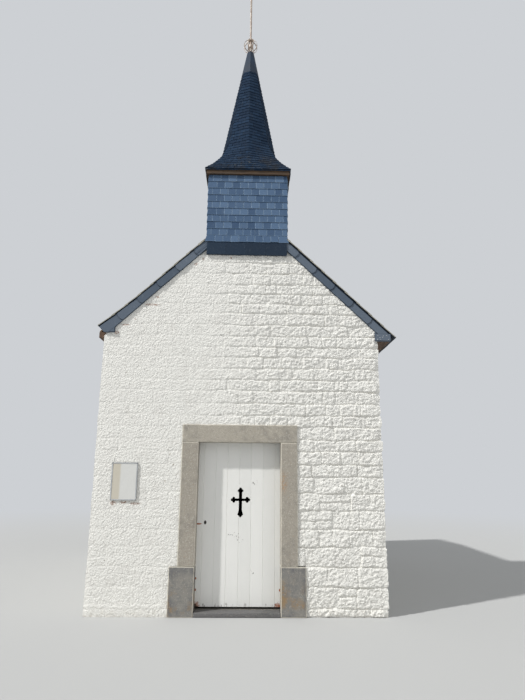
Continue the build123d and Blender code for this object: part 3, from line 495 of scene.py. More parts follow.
@dataclass(frozen=True)
class PaintedBoards(Finish):
    """Off-white paint on upright boards, rotten at its lower corners and marked by rust at the latch."""

    name: str = "door_paint"
    paint: Colour = colour(235, 234, 229)
    thin: Colour = colour(213, 213, 208)
    grime: Colour = colour(96, 90, 82)
    scuff: Colour = colour(126, 122, 114)
    rust: Colour = colour(158, 92, 56)
    rot: Colour = colour(66, 50, 40)
    pitch: float = 0.14
    drip_height: float = 0.125
    corner_reach: Pair = (0.1, 0.085)
    latch_height: float = 0.958
    latch_reach: Pair = (0.085, 0.013)
    edge_marks: tuple[tuple[int, float], ...] = ((0, 0.25), (0, 0.37), (1, 0.25))
    mark_reach: Pair = (0.018, 0.022)
    scuffs: tuple[Pair, ...] = (
        (0.13, 1.43), (-0.06, 0.85), (-0.03, 0.79), (0.1, 0.44), (-0.13, 0.83),
    )
    scuff_reach: Pair = (0.05, 0.045)
    key_place: Pair = (-0.432, 0.974)
    key_reach: Pair = (0.021, 0.032)
    # painted shade: a near-black patch round the keyhole stands in for the dark inside of the hole
    dark_patch: Colour = colour(34, 31, 28)
    rough: float = 0.5
    shine: float = 0.4
    relief: float = 0.0014

    def frayed(self, mark: Signal, broken: Signal, play: float) -> Signal:
        """Frays the rim of a mark by a pattern and a play, and leaves nothing beyond its reach."""
        return (mark + broken * play - play / 2) * mark.smooth(0, 0.25)

    def compose(self, graph: Graph) -> bpy.types.Material:
        """Mixes the tone of each board, brush marks, drips, rot, rust, scuffs and a painted shadow round the
        keyhole.

        Args:
            graph: The empty graph.

        Returns:
            The finished material.
        """
        low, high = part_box("door_leaf")
        edges = [corner.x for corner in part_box("threshold_stone")]
        x, _, z = graph.axes()
        board = ((x - (low.x + high.x) / 2) / self.pitch).floor()
        shade = graph.node("ShaderNodeTexWhiteNoise", {"noise_dimensions": "1D"}, {"W": board}, "Value")
        brushed = graph.noise(1, 4, 0.62, graph.stretched(120, 120, 3.5))
        blotches = graph.noise(6, 4, 0.6)
        broken = graph.noise(42, 4, 0.65)
        tone = graph.blend(shade * 0.4 + blotches * 0.25, self.paint, self.thin)
        tone = graph.blend(brushed.smooth(0.56, 0.75) * 0.3, tone, self.thin)
        drips = graph.noise(1, 3, 0.6, graph.stretched(58, 58, 9)).smooth(0.58, 0.66)
        tone = graph.blend(drips * z.smooth(self.drip_height, low.z + 0.02) * 0.85, tone, self.grime)
        for edge, core in zip(edges, (self.rot, self.rust)):
            corner = graph.spot(low.y, (edge, low.z), self.corner_reach)
            corner = self.frayed(corner, broken, 2.4)
            tone = graph.blend(corner.smooth(0.2, 0.75) * 0.85, tone, self.rust)
            tone = graph.blend(corner.smooth(0.75, 1.0), tone, core)
        latch = graph.spot(low.y, (edges[0], self.latch_height), self.latch_reach)
        tone = graph.blend(self.frayed(latch, broken, 0.6).smooth(0.12, 0.4), tone, self.rust)
        for end, height in self.edge_marks:
            mark = graph.spot(low.y, (edges[end], height), self.mark_reach)
            tone = graph.blend(self.frayed(mark, broken, 0.6).smooth(0.15, 0.4), tone, self.rust)
        for scuff in self.scuffs:
            mark = graph.spot(low.y, scuff, self.scuff_reach)
            tone = graph.blend(mark.smooth(0, 0.3) * broken.smooth(0.57, 0.64), tone, self.scuff)
        # painted shade: the dark of the keyhole, spread round it
        key = graph.spot(low.y, self.key_place, self.key_reach)
        tone = graph.blend(key.smooth(0.1, 0.4), tone, self.dark_patch)
        relief = brushed * 0.55 + graph.noise(150, 2) * 0.25
        return graph.surface(tone, brushed * 0.2 + self.rough, relief, self.relief, shine=self.shine)


@dataclass(frozen=True)
class Sheet(Finish):
    """A weathered printed sheet without its print, faded unevenly behind its frame."""

    name: str = "notice_sheet"
    sheet: Colour = colour(214, 214, 210)
    faded: Colour = colour(198, 190, 172)
    stripe: float = 0.34
    stripe_edge: float = 0.012
    rough: float = 0.35
    relief: float = 0.004

    def compose(self, graph: Graph) -> bpy.types.Material:
        """Mixes a faded left third, patches and faint cockles.

        Args:
            graph: The empty graph.

        Returns:
            The finished material.
        """
        low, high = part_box("notice_panel")
        x, _, _ = graph.axes()
        broad = graph.noise(7, 3)
        edge = low.x + (high.x - low.x) * self.stripe
        faded = x.smooth(edge + self.stripe_edge, edge - self.stripe_edge)
        tone = graph.blend(faded * 0.8 + broad * 0.15, self.sheet, self.faded)
        return graph.surface(tone, broad * 0.2 + self.rough, broad + graph.noise(90, 2) * 0.1, self.relief)


class Finishes(Enum):
    """Every finish on the chapel."""

    LIMEWASH = Limewash()
    LINTEL = Limestone("lintel_limestone")
    JAMB = Limestone(
        "jamb_limestone", colour(161, 154, 142), colour(124, 120, 114), rust=colour(170, 134, 100),
        stains=((0.46, 1.43, 0.09, 0.2),),
    )
    BASE = Limestone(
        "base_limestone", colour(138, 135, 128), colour(106, 106, 107), colour(168, 163, 152), weathering=0.5,
        stained_below=0.42, stains=((0.45, 0.25, 0.1, 0.24), (0.62, 0.14, 0.14, 0.1)),
    )
    SILL = Limestone("sill_limestone", colour(108, 107, 106), colour(84, 84, 84), colour(140, 137, 130))
    # the bevelled arrises are paler than the stones' faces
    ARRIS = Limestone("pale_arris", colour(196, 190, 176), colour(170, 164, 152), colour(214, 208, 196))
    FLAGS = Limestone("floor_limestone", colour(128, 124, 116), colour(98, 95, 90))
    ROOF = Slate("roof_slate", colour(52, 64, 78), colour(76, 88, 102), moss_below=3.9, moss_share=0.4)
    HUNG = Slate("hung_slate", colour(44, 69, 98), colour(88, 112, 140), lichen_share=0.25, rough=0.55)
    BARGE = Slate("barge_slate", colour(72, 84, 98), colour(98, 108, 120), lichen_share=0.25)
    SPIRE = Slate(
        "spire_slate", colour(20, 37, 56), colour(37, 56, 78), colour(42, 40, 37), colour(128, 128, 120),
        moss_below=5.72, moss_share=0.6, lichen_share=0.25, rough=0.76, shine=0.14,
    )
    SPIRE_EDGE = Slate(
        "spire_edge", colour(28, 41, 59), colour(44, 60, 79), colour(56, 52, 46), colour(134, 132, 122),
        moss_below=5.72, moss_share=0.5, lichen_share=0.25, rough=0.76, shine=0.14,
    )
    APRON = Slate(
        "apron_slate", colour(30, 43, 58), colour(42, 56, 72), lichen_share=0.2, rough=0.68, shine=0.2
    )
    EDGE = Slate("slate_edge", colour(112, 138, 166), colour(142, 163, 184), lichen_share=0.3)
    # painted shade: dark bevels on the boards' slates and plates stand in for the shadow lines under the laps
    # and round the plates
    BARGE_EDGE = Slate("barge_shaded_edge", colour(40, 49, 62), colour(60, 70, 82), lichen_share=0.2)
    DARK_EDGE = Slate("dark_slate_edge", colour(50, 62, 78), colour(72, 84, 98), lichen_share=0.4, rough=0.7)
    VERGE = Slate("verge_ends", colour(152, 149, 136), colour(178, 173, 158), lichen_share=0.3, rough=0.7)
    # painted shade: near-black slate that stands in for the shadow in the gaps under the verges and at the
    # slate beds' inset ends
    PAINTED_SHADE = Slate(
        "painted_shade_slates", colour(20, 26, 34), colour(34, 40, 48), lichen_share=0.15, rough=0.8, shine=0.1
    )
    ZINC = Metal("sheet_zinc", colour(14, 33, 52), colour(24, 45, 66), colour(42, 62, 80), 0.35, 0.0, 0.76)
    COLLAR = Metal(
        "cap_collar", colour(92, 106, 118), colour(116, 128, 138), colour(70, 84, 98), 0.35, 0.1, 0.6
    )
    FASCIA = Timber(
        "stained_boards", colour(77, 55, 31), colour(51, 37, 21), colour(67, 55, 40), along=(4.0, 4.0, 60.0)
    )
    SOFFIT = Timber("soffit_boards", colour(98, 72, 50), colour(72, 52, 36), colour(108, 88, 68))
    TIMBER = Timber("roof_timber", colour(128, 103, 76), colour(98, 76, 54), colour(110, 100, 88))
    DOOR = PaintedBoards()
    IRON = Metal(
        "forged_iron", colour(66, 60, 56), colour(88, 78, 70), colour(112, 74, 50), metal=0.5, scale=14
    )
    FINIAL = Metal(
        "finial_iron", colour(188, 176, 162), colour(158, 142, 128), colour(138, 90, 62), metal=0.1, scale=14
    )
    SHEET = Sheet()
    FRAME = Metal(
        "notice_frame", colour(186, 188, 188), colour(160, 162, 164), colour(110, 104, 96), 0.35, 0.3
    )
    NAIL = Metal(
        "nail_heads", colour(196, 198, 198), colour(170, 172, 174), colour(120, 110, 100), 0.3, 0.2
    )

    @property
    def material(self) -> bpy.types.Material:
        """The material of this finish."""
        return self.value.material()


class Workpiece:
    """A mesh in the making that ends as one piece of the chapel."""

    def __init__(self, name: str) -> None:
        """Starts an empty mesh of that name."""
        self.name = name
        self.bm = bmesh.new()

    def box(self, low: Iterable[float], high: Iterable[float]) -> list[bmesh.types.BMVert]:
        """Adds a box.

        Args:
            low: Its lowest corner.
            high: Its highest corner.

        Returns:
            The box's corners.
        """
        low, high = Vector(low), Vector(high)
        matrix = Matrix.LocRotScale((low + high) / 2, None, high - low)
        return bmesh.ops.create_cube(self.bm, size=1, matrix=matrix)["verts"]

    def whole(self) -> list:
        """All the geometry, as the cutting operators take it."""
        return self.bm.verts[:] + self.bm.edges[:] + self.bm.faces[:]

    def cut(self, point: Iterable[float], outward: Iterable[float], keep: bool = False) -> None:
        """Cuts the mesh along a plane; what lies outward goes, unless both sides are kept."""
        sides = {"plane_co": point, "plane_no": outward, "clear_outer": not keep}
        bmesh.ops.bisect_plane(self.bm, geom=self.whole(), dist=MERGE, **sides)

    def fill(self) -> None:
        """Closes every open rim."""
        rims = [edge for edge in self.bm.edges if edge.is_boundary]
        bmesh.ops.holes_fill(self.bm, edges=rims, sides=0)

    def trim(self, planes: Iterable[tuple[Vector, Vector]]) -> None:
        """Cuts a closed shape along planes and closes it again.

        Args:
            planes: A point on each plane and the side that goes.
        """
        for point, outward in planes:
            self.cut(point, outward)
            self.fill()

    def stud(self, place: Vector, radius: float, flat: float, facets: int) -> list[bmesh.types.BMFace]:
        """Adds a round head that lies flat along y.

        Args:
            place: Its middle.
            radius: Its radius.
            flat: Its depth as a share of its width.
            facets: Its facets round.

        Returns:
            Its faces.
        """
        matrix = Matrix.Translation(place) @ Matrix.Diagonal((radius, radius * flat, radius, 1))
        made = bmesh.ops.create_uvsphere(
            self.bm, u_segments=facets, v_segments=facets // 2 + 1, radius=1, matrix=matrix
        )
        return list({face for vertex in made["verts"] for face in vertex.link_faces})

    def join(self, other: "Workpiece") -> None:
        """Takes in another mesh, which ends there.

        Args:
            other: The mesh to take in.
        """
        mesh = bpy.data.meshes.new(other.name)
        other.bm.to_mesh(mesh)
        other.bm.free()
        self.bm.from_mesh(mesh)
        bpy.data.meshes.remove(mesh)

    def slice(self, cell: float) -> None:
        """Cuts the mesh into cells of about one size.

        Args:
            cell: The size of a cell.
        """
        for axis in range(3):
            low = min(v.co[axis] for v in self.bm.verts)
            high = max(v.co[axis] for v in self.bm.verts)
            count = round((high - low) / cell)
            across = [float(axis == n) for n in range(3)]
            for n in range(1, count):
                point = [(low + (high - low) * n / count) * share for share in across]
                self.cut(point, across, keep=True)

    def bevel(self, edges: list, width: float, segments: int = 1) -> list[bmesh.types.BMFace]:
        """Rounds edges by a width, in so many facets, and gives the new faces."""
        style = {"segments": segments, "profile": 0.5, "affect": "EDGES", "material": -1}
        return bmesh.ops.bevel(self.bm, geom=edges, offset=width, **style)["faces"]

    def done(
        self,
        finishes: Iterable[Finishes],
        slot: str,
        replaced: Iterable[str] = (),
        body: str = "chapel",
        smooth: float = 0.0,
    ) -> bpy.types.Object:
        """Makes the mesh a finished piece.

        Args:
            finishes: Its finishes, the main one first.
            slot: The record's slot; not used.
            replaced: The CAD nodes that it stands for.
            body: The body that it rides on.
            smooth: The sharpest angle that is shaded smooth, in degrees.

        Returns:
            The piece.
        """
        mesh = bpy.data.meshes.new(self.name)
        self.bm.to_mesh(mesh)
        self.bm.free()
        for finish in finishes:
            mesh.materials.append(finish.material)
        if smooth:
            mesh.polygons.foreach_set("use_smooth", [True] * len(mesh.polygons))
            mesh.set_sharp_from_angle(angle=math.radians(smooth))
        piece = bpy.data.objects.new(self.name, mesh)
        bpy.context.scene.collection.objects.link(piece)
        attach(piece, body)
        if replaced:
            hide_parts(*replaced)
        LOG.info("%s: %d faces", self.name, len(mesh.polygons))
        return piece


@dataclass(frozen=True)
class RoofLines:
    """The roof planes and eaves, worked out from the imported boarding."""

    pitch: float = math.radians(44)
    ridge: float = field(default_factory=lambda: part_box("roof_boarding_left")[1].z)
    half_span: float = field(default_factory=lambda: -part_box("roof_boarding_left")[0].x)
    board_width: float = 0.137
    front_widths: Pair = (0.097, 0.106)
    return_width: float = 0.19
    left_foot: float = 3.191
    left_cut: float = 0.03
    left_lift: float = 0.04
    lift_reach: float = 0.8

    def height(self, x: float, above: float = 0.0) -> float:
        """Gives the height of the roof plane at a place across, or of one that lies above it."""
        return self.ridge - abs(x) * math.tan(self.pitch) + above / math.cos(self.pitch)

    def climb(self, side: int) -> Vector:
        """Gives the way up the slope on one side."""
        return Vector((-side * math.cos(self.pitch), 0, math.sin(self.pitch)))

    def outward(self, side: int) -> Vector:
        """Gives the way out of the slope on one side."""
        return Vector((side * math.sin(self.pitch), 0, math.cos(self.pitch)))

    def along(self, across: float) -> float:
        """Turns a distance across the roof into one up its slope."""
        return across / math.cos(self.pitch)

    def tip(self, side: int, y: float = 0.0) -> Vector:
        """Gives the foot of the slope's boarding on one side."""
        return Vector((side * self.half_span, y, self.height(self.half_span)))

    def lower(self, side: int, facing: int, y: float = 0.0) -> Vector:
        """Gives the foot of a bargeboard's lower edge."""
        return self.tip(side, y) - self.outward(side) * self.width(side, facing)

    def lift(self, side: int, level: float) -> float:
        """Says how far the slope is lifted at a distance up from its foot, on the left alone."""
        return self.left_lift * max(0.0, 1 - level / self.lift_reach) ** 2 if side < 0 else 0.0

    def width(self, side: int, facing: int) -> float:
        """Gives the width of the bargeboard that shows, which is narrower at the front."""
        return self.front_widths[side > 0] if facing < 0 else self.board_width

    def plate_foot(self, side: int, facing: int) -> float:
        """Gives the height of a return plate's foot, which is higher at the front left."""
        return self.left_foot if side < 0 and facing < 0 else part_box("eaves_soffits")[0].z

    def end_cut(self, side: int, facing: int) -> float:
        """Says how far up the slope a board's end is cut, which is done at the front left alone."""
        return self.left_cut if side < 0 and facing < 0 else 0.0


@dataclass(frozen=True)
class WallFace:
    """One outer face of the walls, seen from outside."""

    name: str
    corner: Vector
    right: Vector
    width: float
    top: float
    foot: float = 0.0
    part: str = "masonry"

    @property
    def out(self) -> Vector:
        """The way out of the wall."""
        return self.right.cross(UP)


@dataclass(eq=False)
class Masonry:
    """Coursed, quarry-faced blocks under thick limewash, as a height above the wall's plane."""

    low_courses: tuple[float, ...] = (
        0.081, 0.225, 0.207, 0.216, 0.186, 0.202, 0.192, 0.18, 0.141, 0.152, 0.135, 0.146
    )
    upper_course: float = 0.137
    course_play: float = 0.12
    top: float = 5.0
    slender: Pair = (0.85, 2.1)
    least_width: float = 0.13
    split_share: float = 0.25
    split_from: float = 0.17
    split_at: Pair = (0.4, 0.62)
    face_height: float = 0.0155
    face_play: float = 0.0045
    tilt: float = 0.06
    joint: float = 0.0025
    rounding: float = 0.021
    upright_depth: Pair = (0.25, 1.0)
    drift: float = 0.016
    drift_scale: float = 5
    tremor_scale: float = 21
    tremor_parts: float = 3
    crags: float = 0.0075
    crag_scale: float = 21
    crag_layers: tuple[float, float, int] = (0.35, 2.1, 3)
    crag_squash: float = 1.35
    hollows: float = 0.01
    hollow_scale: float = 33
    knobs: float = 0.007
    knob_scale: float = 50
    cell_middle: float = 0.42
    joint_share: float = 0.4
    least: float = 0.001
    most_smooth: float = 0.0195
    most_rough: float = 0.034
    corner_reach: float = 0.045
    corner_share: float = 0.75
    corner_play: float = 1.8
    corner_plain: float = 0.3
    plain_below: float = 0.5
    ledge: float = 0.122
    ledge_height: float = 0.004
    ledge_edge: float = 0.006
    margin: float = 0.2
    seed: int = 11

    def __post_init__(self) -> None:
        """Lays out the courses up to the top of the gable, and seeds the noise."""
        noise.seed_set(self.seed)
        play = random.Random(self.seed)
        self.levels = [-self.margin, 0.0]
        for height in self.low_courses:
            self.levels.append(self.levels[-1] + height)
        while self.levels[-1] < self.top:
            height = self.upper_course * (1 + play.uniform(-self.course_play, self.course_play))
            self.levels.append(self.levels[-1] + height)

    @lru_cache(maxsize=None)
    def joints(self, wall: str, course: int, width: float) -> list[float]:
        """Places the upright joints of a course.

        Args:
            wall: The wall's name.
            course: The course's number.
            width: The length of the wall.

        Returns:
            The joints' distances from the wall's left corner.
        """
        play = random.Random(f"{wall} {course}")
        height = self.levels[course + 1] - self.levels[course]
        places = [-self.margin, 0.0]
        while places[-1] < width - self.least_width:
            places.append(places[-1] + max(height * play.uniform(*self.slender), self.least_width))
        places[-1] = width
        return [*places, width + self.margin]

    def course(self, z: float) -> int:
        """Gives the number of the course at a height."""
        return min(bisect_right(self.levels, z), len(self.levels) - 1) - 1

    @lru_cache(maxsize=None)
    def block(self, wall: str, course: int, place: int) -> tuple[float, float, float, float, float]:
        """Picks the face of one block.

        Args:
            wall: The wall's name.
            course: The course's number.
            place: The block's number in its course.

        Returns:
            How proud it is, its tilt along and up, where it is split in two, or 0, and how deep its
            upright joints are, from 0 to 1.
        """
        play = random.Random(f"{wall} {course} {place}")
        proud = play.uniform(-self.face_play, self.face_play)
        tall = self.levels[course + 1] - self.levels[course] > self.split_from
        split = play.uniform(*self.split_at) if play.random() < self.split_share * tall else 0.0
        lean, pitch = (play.uniform(-self.tilt, self.tilt) for _ in range(2))
        return proud, lean, pitch, split, play.uniform(*self.upright_depth)

    def cushion(self, beside: float, above: float, deep: float = 1.0) -> float:
        """Rounds a block off towards its joints.

        Args:
            beside: The distance to the nearest upright joint.
            above: The distance to the nearest level joint.
            deep: How deep the upright joint is, from 0 to 1.

        Returns:
            0 in the joint and 1 on the face.
        """
        across = max(0.0, 1 - max(0.0, beside - self.joint) / self.rounding) * deep
        up = max(0.0, 1 - max(0.0, above - self.joint) / self.rounding)
        return math.sqrt(1 - min(1.0, across * across + up * up))

    def height(self, wall: WallFace, along: float, point: Vector, strength: float) -> float:
        """Gives the height of the washed blocks at one place.

        Args:
            wall: The wall.
            along: The distance from its left corner.
            point: The place on the wall's plane.
            strength: How rough the blocks are there.

        Returns:
            The height above the wall's plane.
        """
        wander = noise.noise_vector(point * self.drift_scale) * self.drift
        wander += noise.noise_vector(point * self.tremor_scale) * (self.drift / self.tremor_parts)
        u, z = along + (wander.x + wander.y) / 2, max(point.z + wander.z, 0.0)
        course = self.course(z)
        low, high = self.levels[course], self.levels[course + 1]
        joints = self.joints(wall.name, course, wall.width)
        place = min(bisect_right(joints, u), len(joints) - 1) - 1
        proud, lean, pitch, split, deep = self.block(wall.name, course, place)
        if split:
            middle = low + (high - low) * split
            low, high = (low, middle) if z < middle else (middle, high)
        beside = min(u - joints[place], joints[place + 1] - u)
        cushion = self.cushion(max(beside, 0.0), max(min(z - low, high - z), 0.0), deep)
        face = proud + lean * (u - (joints[place] + joints[place + 1]) / 2) + pitch * (z - (low + high) / 2)
        squashed = Vector((point.x, point.y, point.z * self.crag_squash))
        crag = noise.fractal(squashed * self.crag_scale, *self.crag_layers) * self.crags
        hollow = (noise.voronoi(squashed * self.hollow_scale)[0][0] - self.cell_middle) * self.hollows
        knob = (self.cell_middle - noise.voronoi(point * self.knob_scale)[0][0]) * self.knobs
        kept, rest = self.joint_share, 1 - self.joint_share
        rough = (crag + hollow) * strength * (kept + rest * cushion) + knob * (kept + rest * strength)
        washed = 1 - (1 - cushion) * strength
        total = self.least + washed * (self.face_height + face * strength) + rough
        if strength < self.plain_below:
            edges = (self.ledge + self.ledge_edge, self.ledge - self.ledge_edge)
            total += self.ledge_height * smoothstep(*edges, z)
        most = self.most_smooth + (self.most_rough - self.most_smooth) * strength
        return min(max(total, self.least), most)

    def corner_height(self, point: Vector, strength: float) -> float:
        """Gives the height at a corner, the same for the two walls that meet there.

        Args:
            point: The place on the corner.
            strength: How rough the blocks are there.

        Returns:
            The height above both planes.
        """
        z = max(point.z + noise.noise_vector(point * self.drift_scale).z * self.drift, 0.0)
        course = self.course(z)
        near = min(z - self.levels[course], self.levels[course + 1] - z)
        washed = 1 - (1 - self.cushion(1.0, max(near, 0.0))) * strength
        share = self.corner_plain + (1 - self.corner_plain) * strength
        proud = self.block("corner", course, round(point.x))[0] * self.corner_play * share
        crag = noise.fractal(point * self.crag_scale, *self.crag_layers) * self.crags * strength
        return max(self.least, washed * (self.face_height * self.corner_share + proud) + crag)


@dataclass
class Walls:
    """The limewashed relief on the four outer faces of the walls."""

    roof: RoofLines
    masonry: Masonry = field(default_factory=Masonry)
    front_cell: float = 0.0085
    plain_cell: float = 0.016
    tuck: float = 0.003
    smooth_side: float = 0.2
    smooth_until: float = -0.7
    rough_from: float = 0.5
    plain_strength: float = 0.8

    def faces(self) -> list[WallFace]:
        """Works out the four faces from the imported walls.

        Returns:
            The front face in two bands, and the right, back and left faces.
        """
        low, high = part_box("back_wall")[0].copy(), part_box("back_wall")[1].copy()
        low.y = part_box("front_gable")[0].y
        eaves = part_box("eaves_soffits")[0].z
        width, length = high.x - low.x, high.y - low.y
        x, y = Vector((1, 0, 0)), Vector((0, 1, 0))
        front, head = Vector((low.x, low.y, 0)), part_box("door_lintel")[1].z - self.tuck
        return [
            WallFace("front", front, x, width, head, 0.0, "masonry_low"),
            WallFace("front", front, x, width, self.roof.ridge, head, "masonry_high"),
            WallFace("right", Vector((high.x, low.y, 0)), y, length, eaves),
            WallFace("back", Vector((high.x, high.y, 0)), -x, width, self.roof.ridge),
            WallFace("left", Vector((low.x, high.y, 0)), -y, length, eaves),
        ]

    def sheet(self, wall: WallFace, cell: float) -> Workpiece:
        """Starts the face as a flat grid.

        Args:
            wall: The wall.
            cell: The size of a cell.

        Returns:
            The grid.
        """
        work = Workpiece(f"{wall.name}_{wall.part}")
        turn = Matrix((wall.right, UP, wall.out)).transposed().to_4x4()
        middle = wall.corner + wall.right * wall.width / 2 + UP * (wall.foot + wall.top) / 2
        tall = wall.top - wall.foot
        matrix = Matrix.Translation(middle) @ turn @ Matrix.Diagonal((wall.width / 2, tall / 2, 1, 1))
        across, up = round(wall.width / cell), round(tall / cell)
        bmesh.ops.create_grid(work.bm, x_segments=across, y_segments=up, size=1, matrix=matrix)
        return work

    def notch(self, work: Workpiece, x: Sequence[float], z: Sequence[float]) -> None:
        """Takes a rectangle out of a face that runs across the chapel.

        Args:
            work: The face.
            x: The rectangle's limits across.
            z: Its lower and upper limits.
        """
        for place in x:
            work.cut((place, 0, 0), (1, 0, 0), keep=True)
        for place in z:
            work.cut((0, 0, place), (0, 0, 1), keep=True)
        inside = []
        for face in work.bm.faces:
            middle = face.calc_center_median()
            if x[0] < middle.x < x[1] and z[0] < middle.z < z[1]:
                inside.append(face)
        bmesh.ops.delete(work.bm, geom=inside, context="FACES")

    def trim_gable(self, work: Workpiece, wall: WallFace) -> None:
        """Cuts an end face to the underside of its bargeboards and return plates.

        Args:
            work: The face.
            wall: The wall.
        """
        facing = -1 if wall.name == "front" else 1
        for side, _ in SIDES:
            below = self.roof.width(side, facing) - self.tuck
            outward = self.roof.outward(side)
            work.cut(self.roof.tip(side) - outward * below, outward)
            near = self.roof.half_span - self.roof.return_width + self.tuck
            x = sorted((side * near, side * (self.roof.half_span + self.roof.return_width)))
            self.notch(work, x, (self.roof.plate_foot(side, facing) + self.tuck, wall.top))

    def trim_doorway(self, work: Workpiece, wall: WallFace) -> None:
        """Cuts the lower band round the dressed stones, and the upper one under the belfry's apron.

        Args:
            work: The band.
            wall: The band's face.
        """
        if wall.foot:
            work.cut((0, 0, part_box("belfry_apron")[0].z + self.tuck), UP)
            return
        for node in ("door_base_blocks", "door_jambs", "door_lintel"):
            low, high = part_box(node)
            self.notch(work, (low.x + self.tuck, high.x - self.tuck), (low.z - self.tuck, high.z))

    def strength(self, wall: WallFace, point: Vector) -> float:
        """Says how rough the blocks are at a place, up to 1; the left of the front is plainer."""
        return self.side_strength(point.x) if wall.name == "front" else self.plain_strength

    def side_strength(self, x: float) -> float:
        """Gives the roughness of the front at a place across it, and of the corners at its ends."""
        share = smoothstep(self.smooth_until, self.rough_from, x)
        return self.smooth_side + (1 - self.smooth_side) * share

    def raise_relief(self, work: Workpiece, wall: WallFace) -> None:
        """Moves every point of a face out to the blocks' surface.

        Args:
            work: The face.
            wall: The wall.
        """
        reach = self.masonry.corner_reach
        for vertex in work.bm.verts:
            point = vertex.co.copy()
            along = (point - wall.corner).dot(wall.right)
            height = self.masonry.height(wall, along, point, self.strength(wall, point))
            near = min(along, wall.width - along)
            if near < reach:
                left = along < wall.width / 2
                corner = wall.corner + wall.right * (0.0 if left else wall.width) + UP * point.z
                turned = self.masonry.corner_height(corner, self.side_strength(corner.x))
                share = smoothstep(0, reach, near)
                height = turned + (height - turned) * share
                vertex.co += wall.right * ((-1 if left else 1) * turned * (1 - share))
            vertex.co += wall.out * height

    def close(self, work: Workpiece, wall: WallFace) -> None:
        """Closes a face with a rim and a flat back on the wall's plane.

        Args:
            work: The face.
            wall: The wall.
        """
        rim = [edge for edge in work.bm.edges if edge.is_boundary]
        made = bmesh.ops.extrude_edge_only(work.bm, edges=rim)["geom"]
        back = [item for item in made if isinstance(item, bmesh.types.BMVert)]
        for vertex in back:
            vertex.co -= wall.out * (vertex.co - wall.corner).dot(wall.out)
        work.fill()
        bmesh.ops.recalc_face_normals(work.bm, faces=work.bm.faces[:])

    def build(self) -> None:
        """Builds the four faces."""
        for wall in self.faces():
            work = self.sheet(wall, self.front_cell if wall.name == "front" else self.plain_cell)
            if wall.top == self.roof.ridge:
                self.trim_gable(work, wall)
            if wall.name == "front":
                self.trim_doorway(work, wall)
            self.raise_relief(work, wall)
            self.close(work, wall)
            work.done([Finishes.LIMEWASH], "limewashed_masonry", smooth=50)


@dataclass
class SlateBed:
    """A facet that slates lie on: its two side edges, each with its way out, and its courses' levels."""

    left: Edge
    right: Edge
    levels: list[float]
    least_reach: float = 1e-3
    step: float = 1e-3

    @staticmethod
    def edge(foot: Vector, climb: Vector, out: Vector) -> Edge:
        """Makes a straight edge: its point and its way out at any distance up from the foot."""
        return lambda level: (foot + climb * level, out)

    @staticmethod
    def plain(left: Vector, right: Vector, climb: Vector, levels: list[float]) -> "SlateBed":
        """Makes a flat facet with parallel sides from the feet of its edges, seen from outside."""
        out = (right - left).cross(climb).normalized()
        return SlateBed(SlateBed.edge(left, climb, out), SlateBed.edge(right, climb, out), levels)

    def point(self, across: float, level: float, height: float) -> Vector:
        """Finds a place on or above the facet.

        Args:
            across: The share of the way from the left edge to the right one.
            level: The level.
            height: The height above the facet.

        Returns:
            The place.
        """
        left, left_out = self.left(level)
        right, right_out = self.right(level)
        if across <= 0:
            return left + left_out * height
        if across >= 1:
            return right + right_out * height
        step = max(self.levels[-1] - self.levels[0], self.least_reach) * self.step
        up = self.left(level + step)[0] + self.right(level + step)[0] - left - right
        return left.lerp(right, across) + (right - left).cross(up).normalized() * height


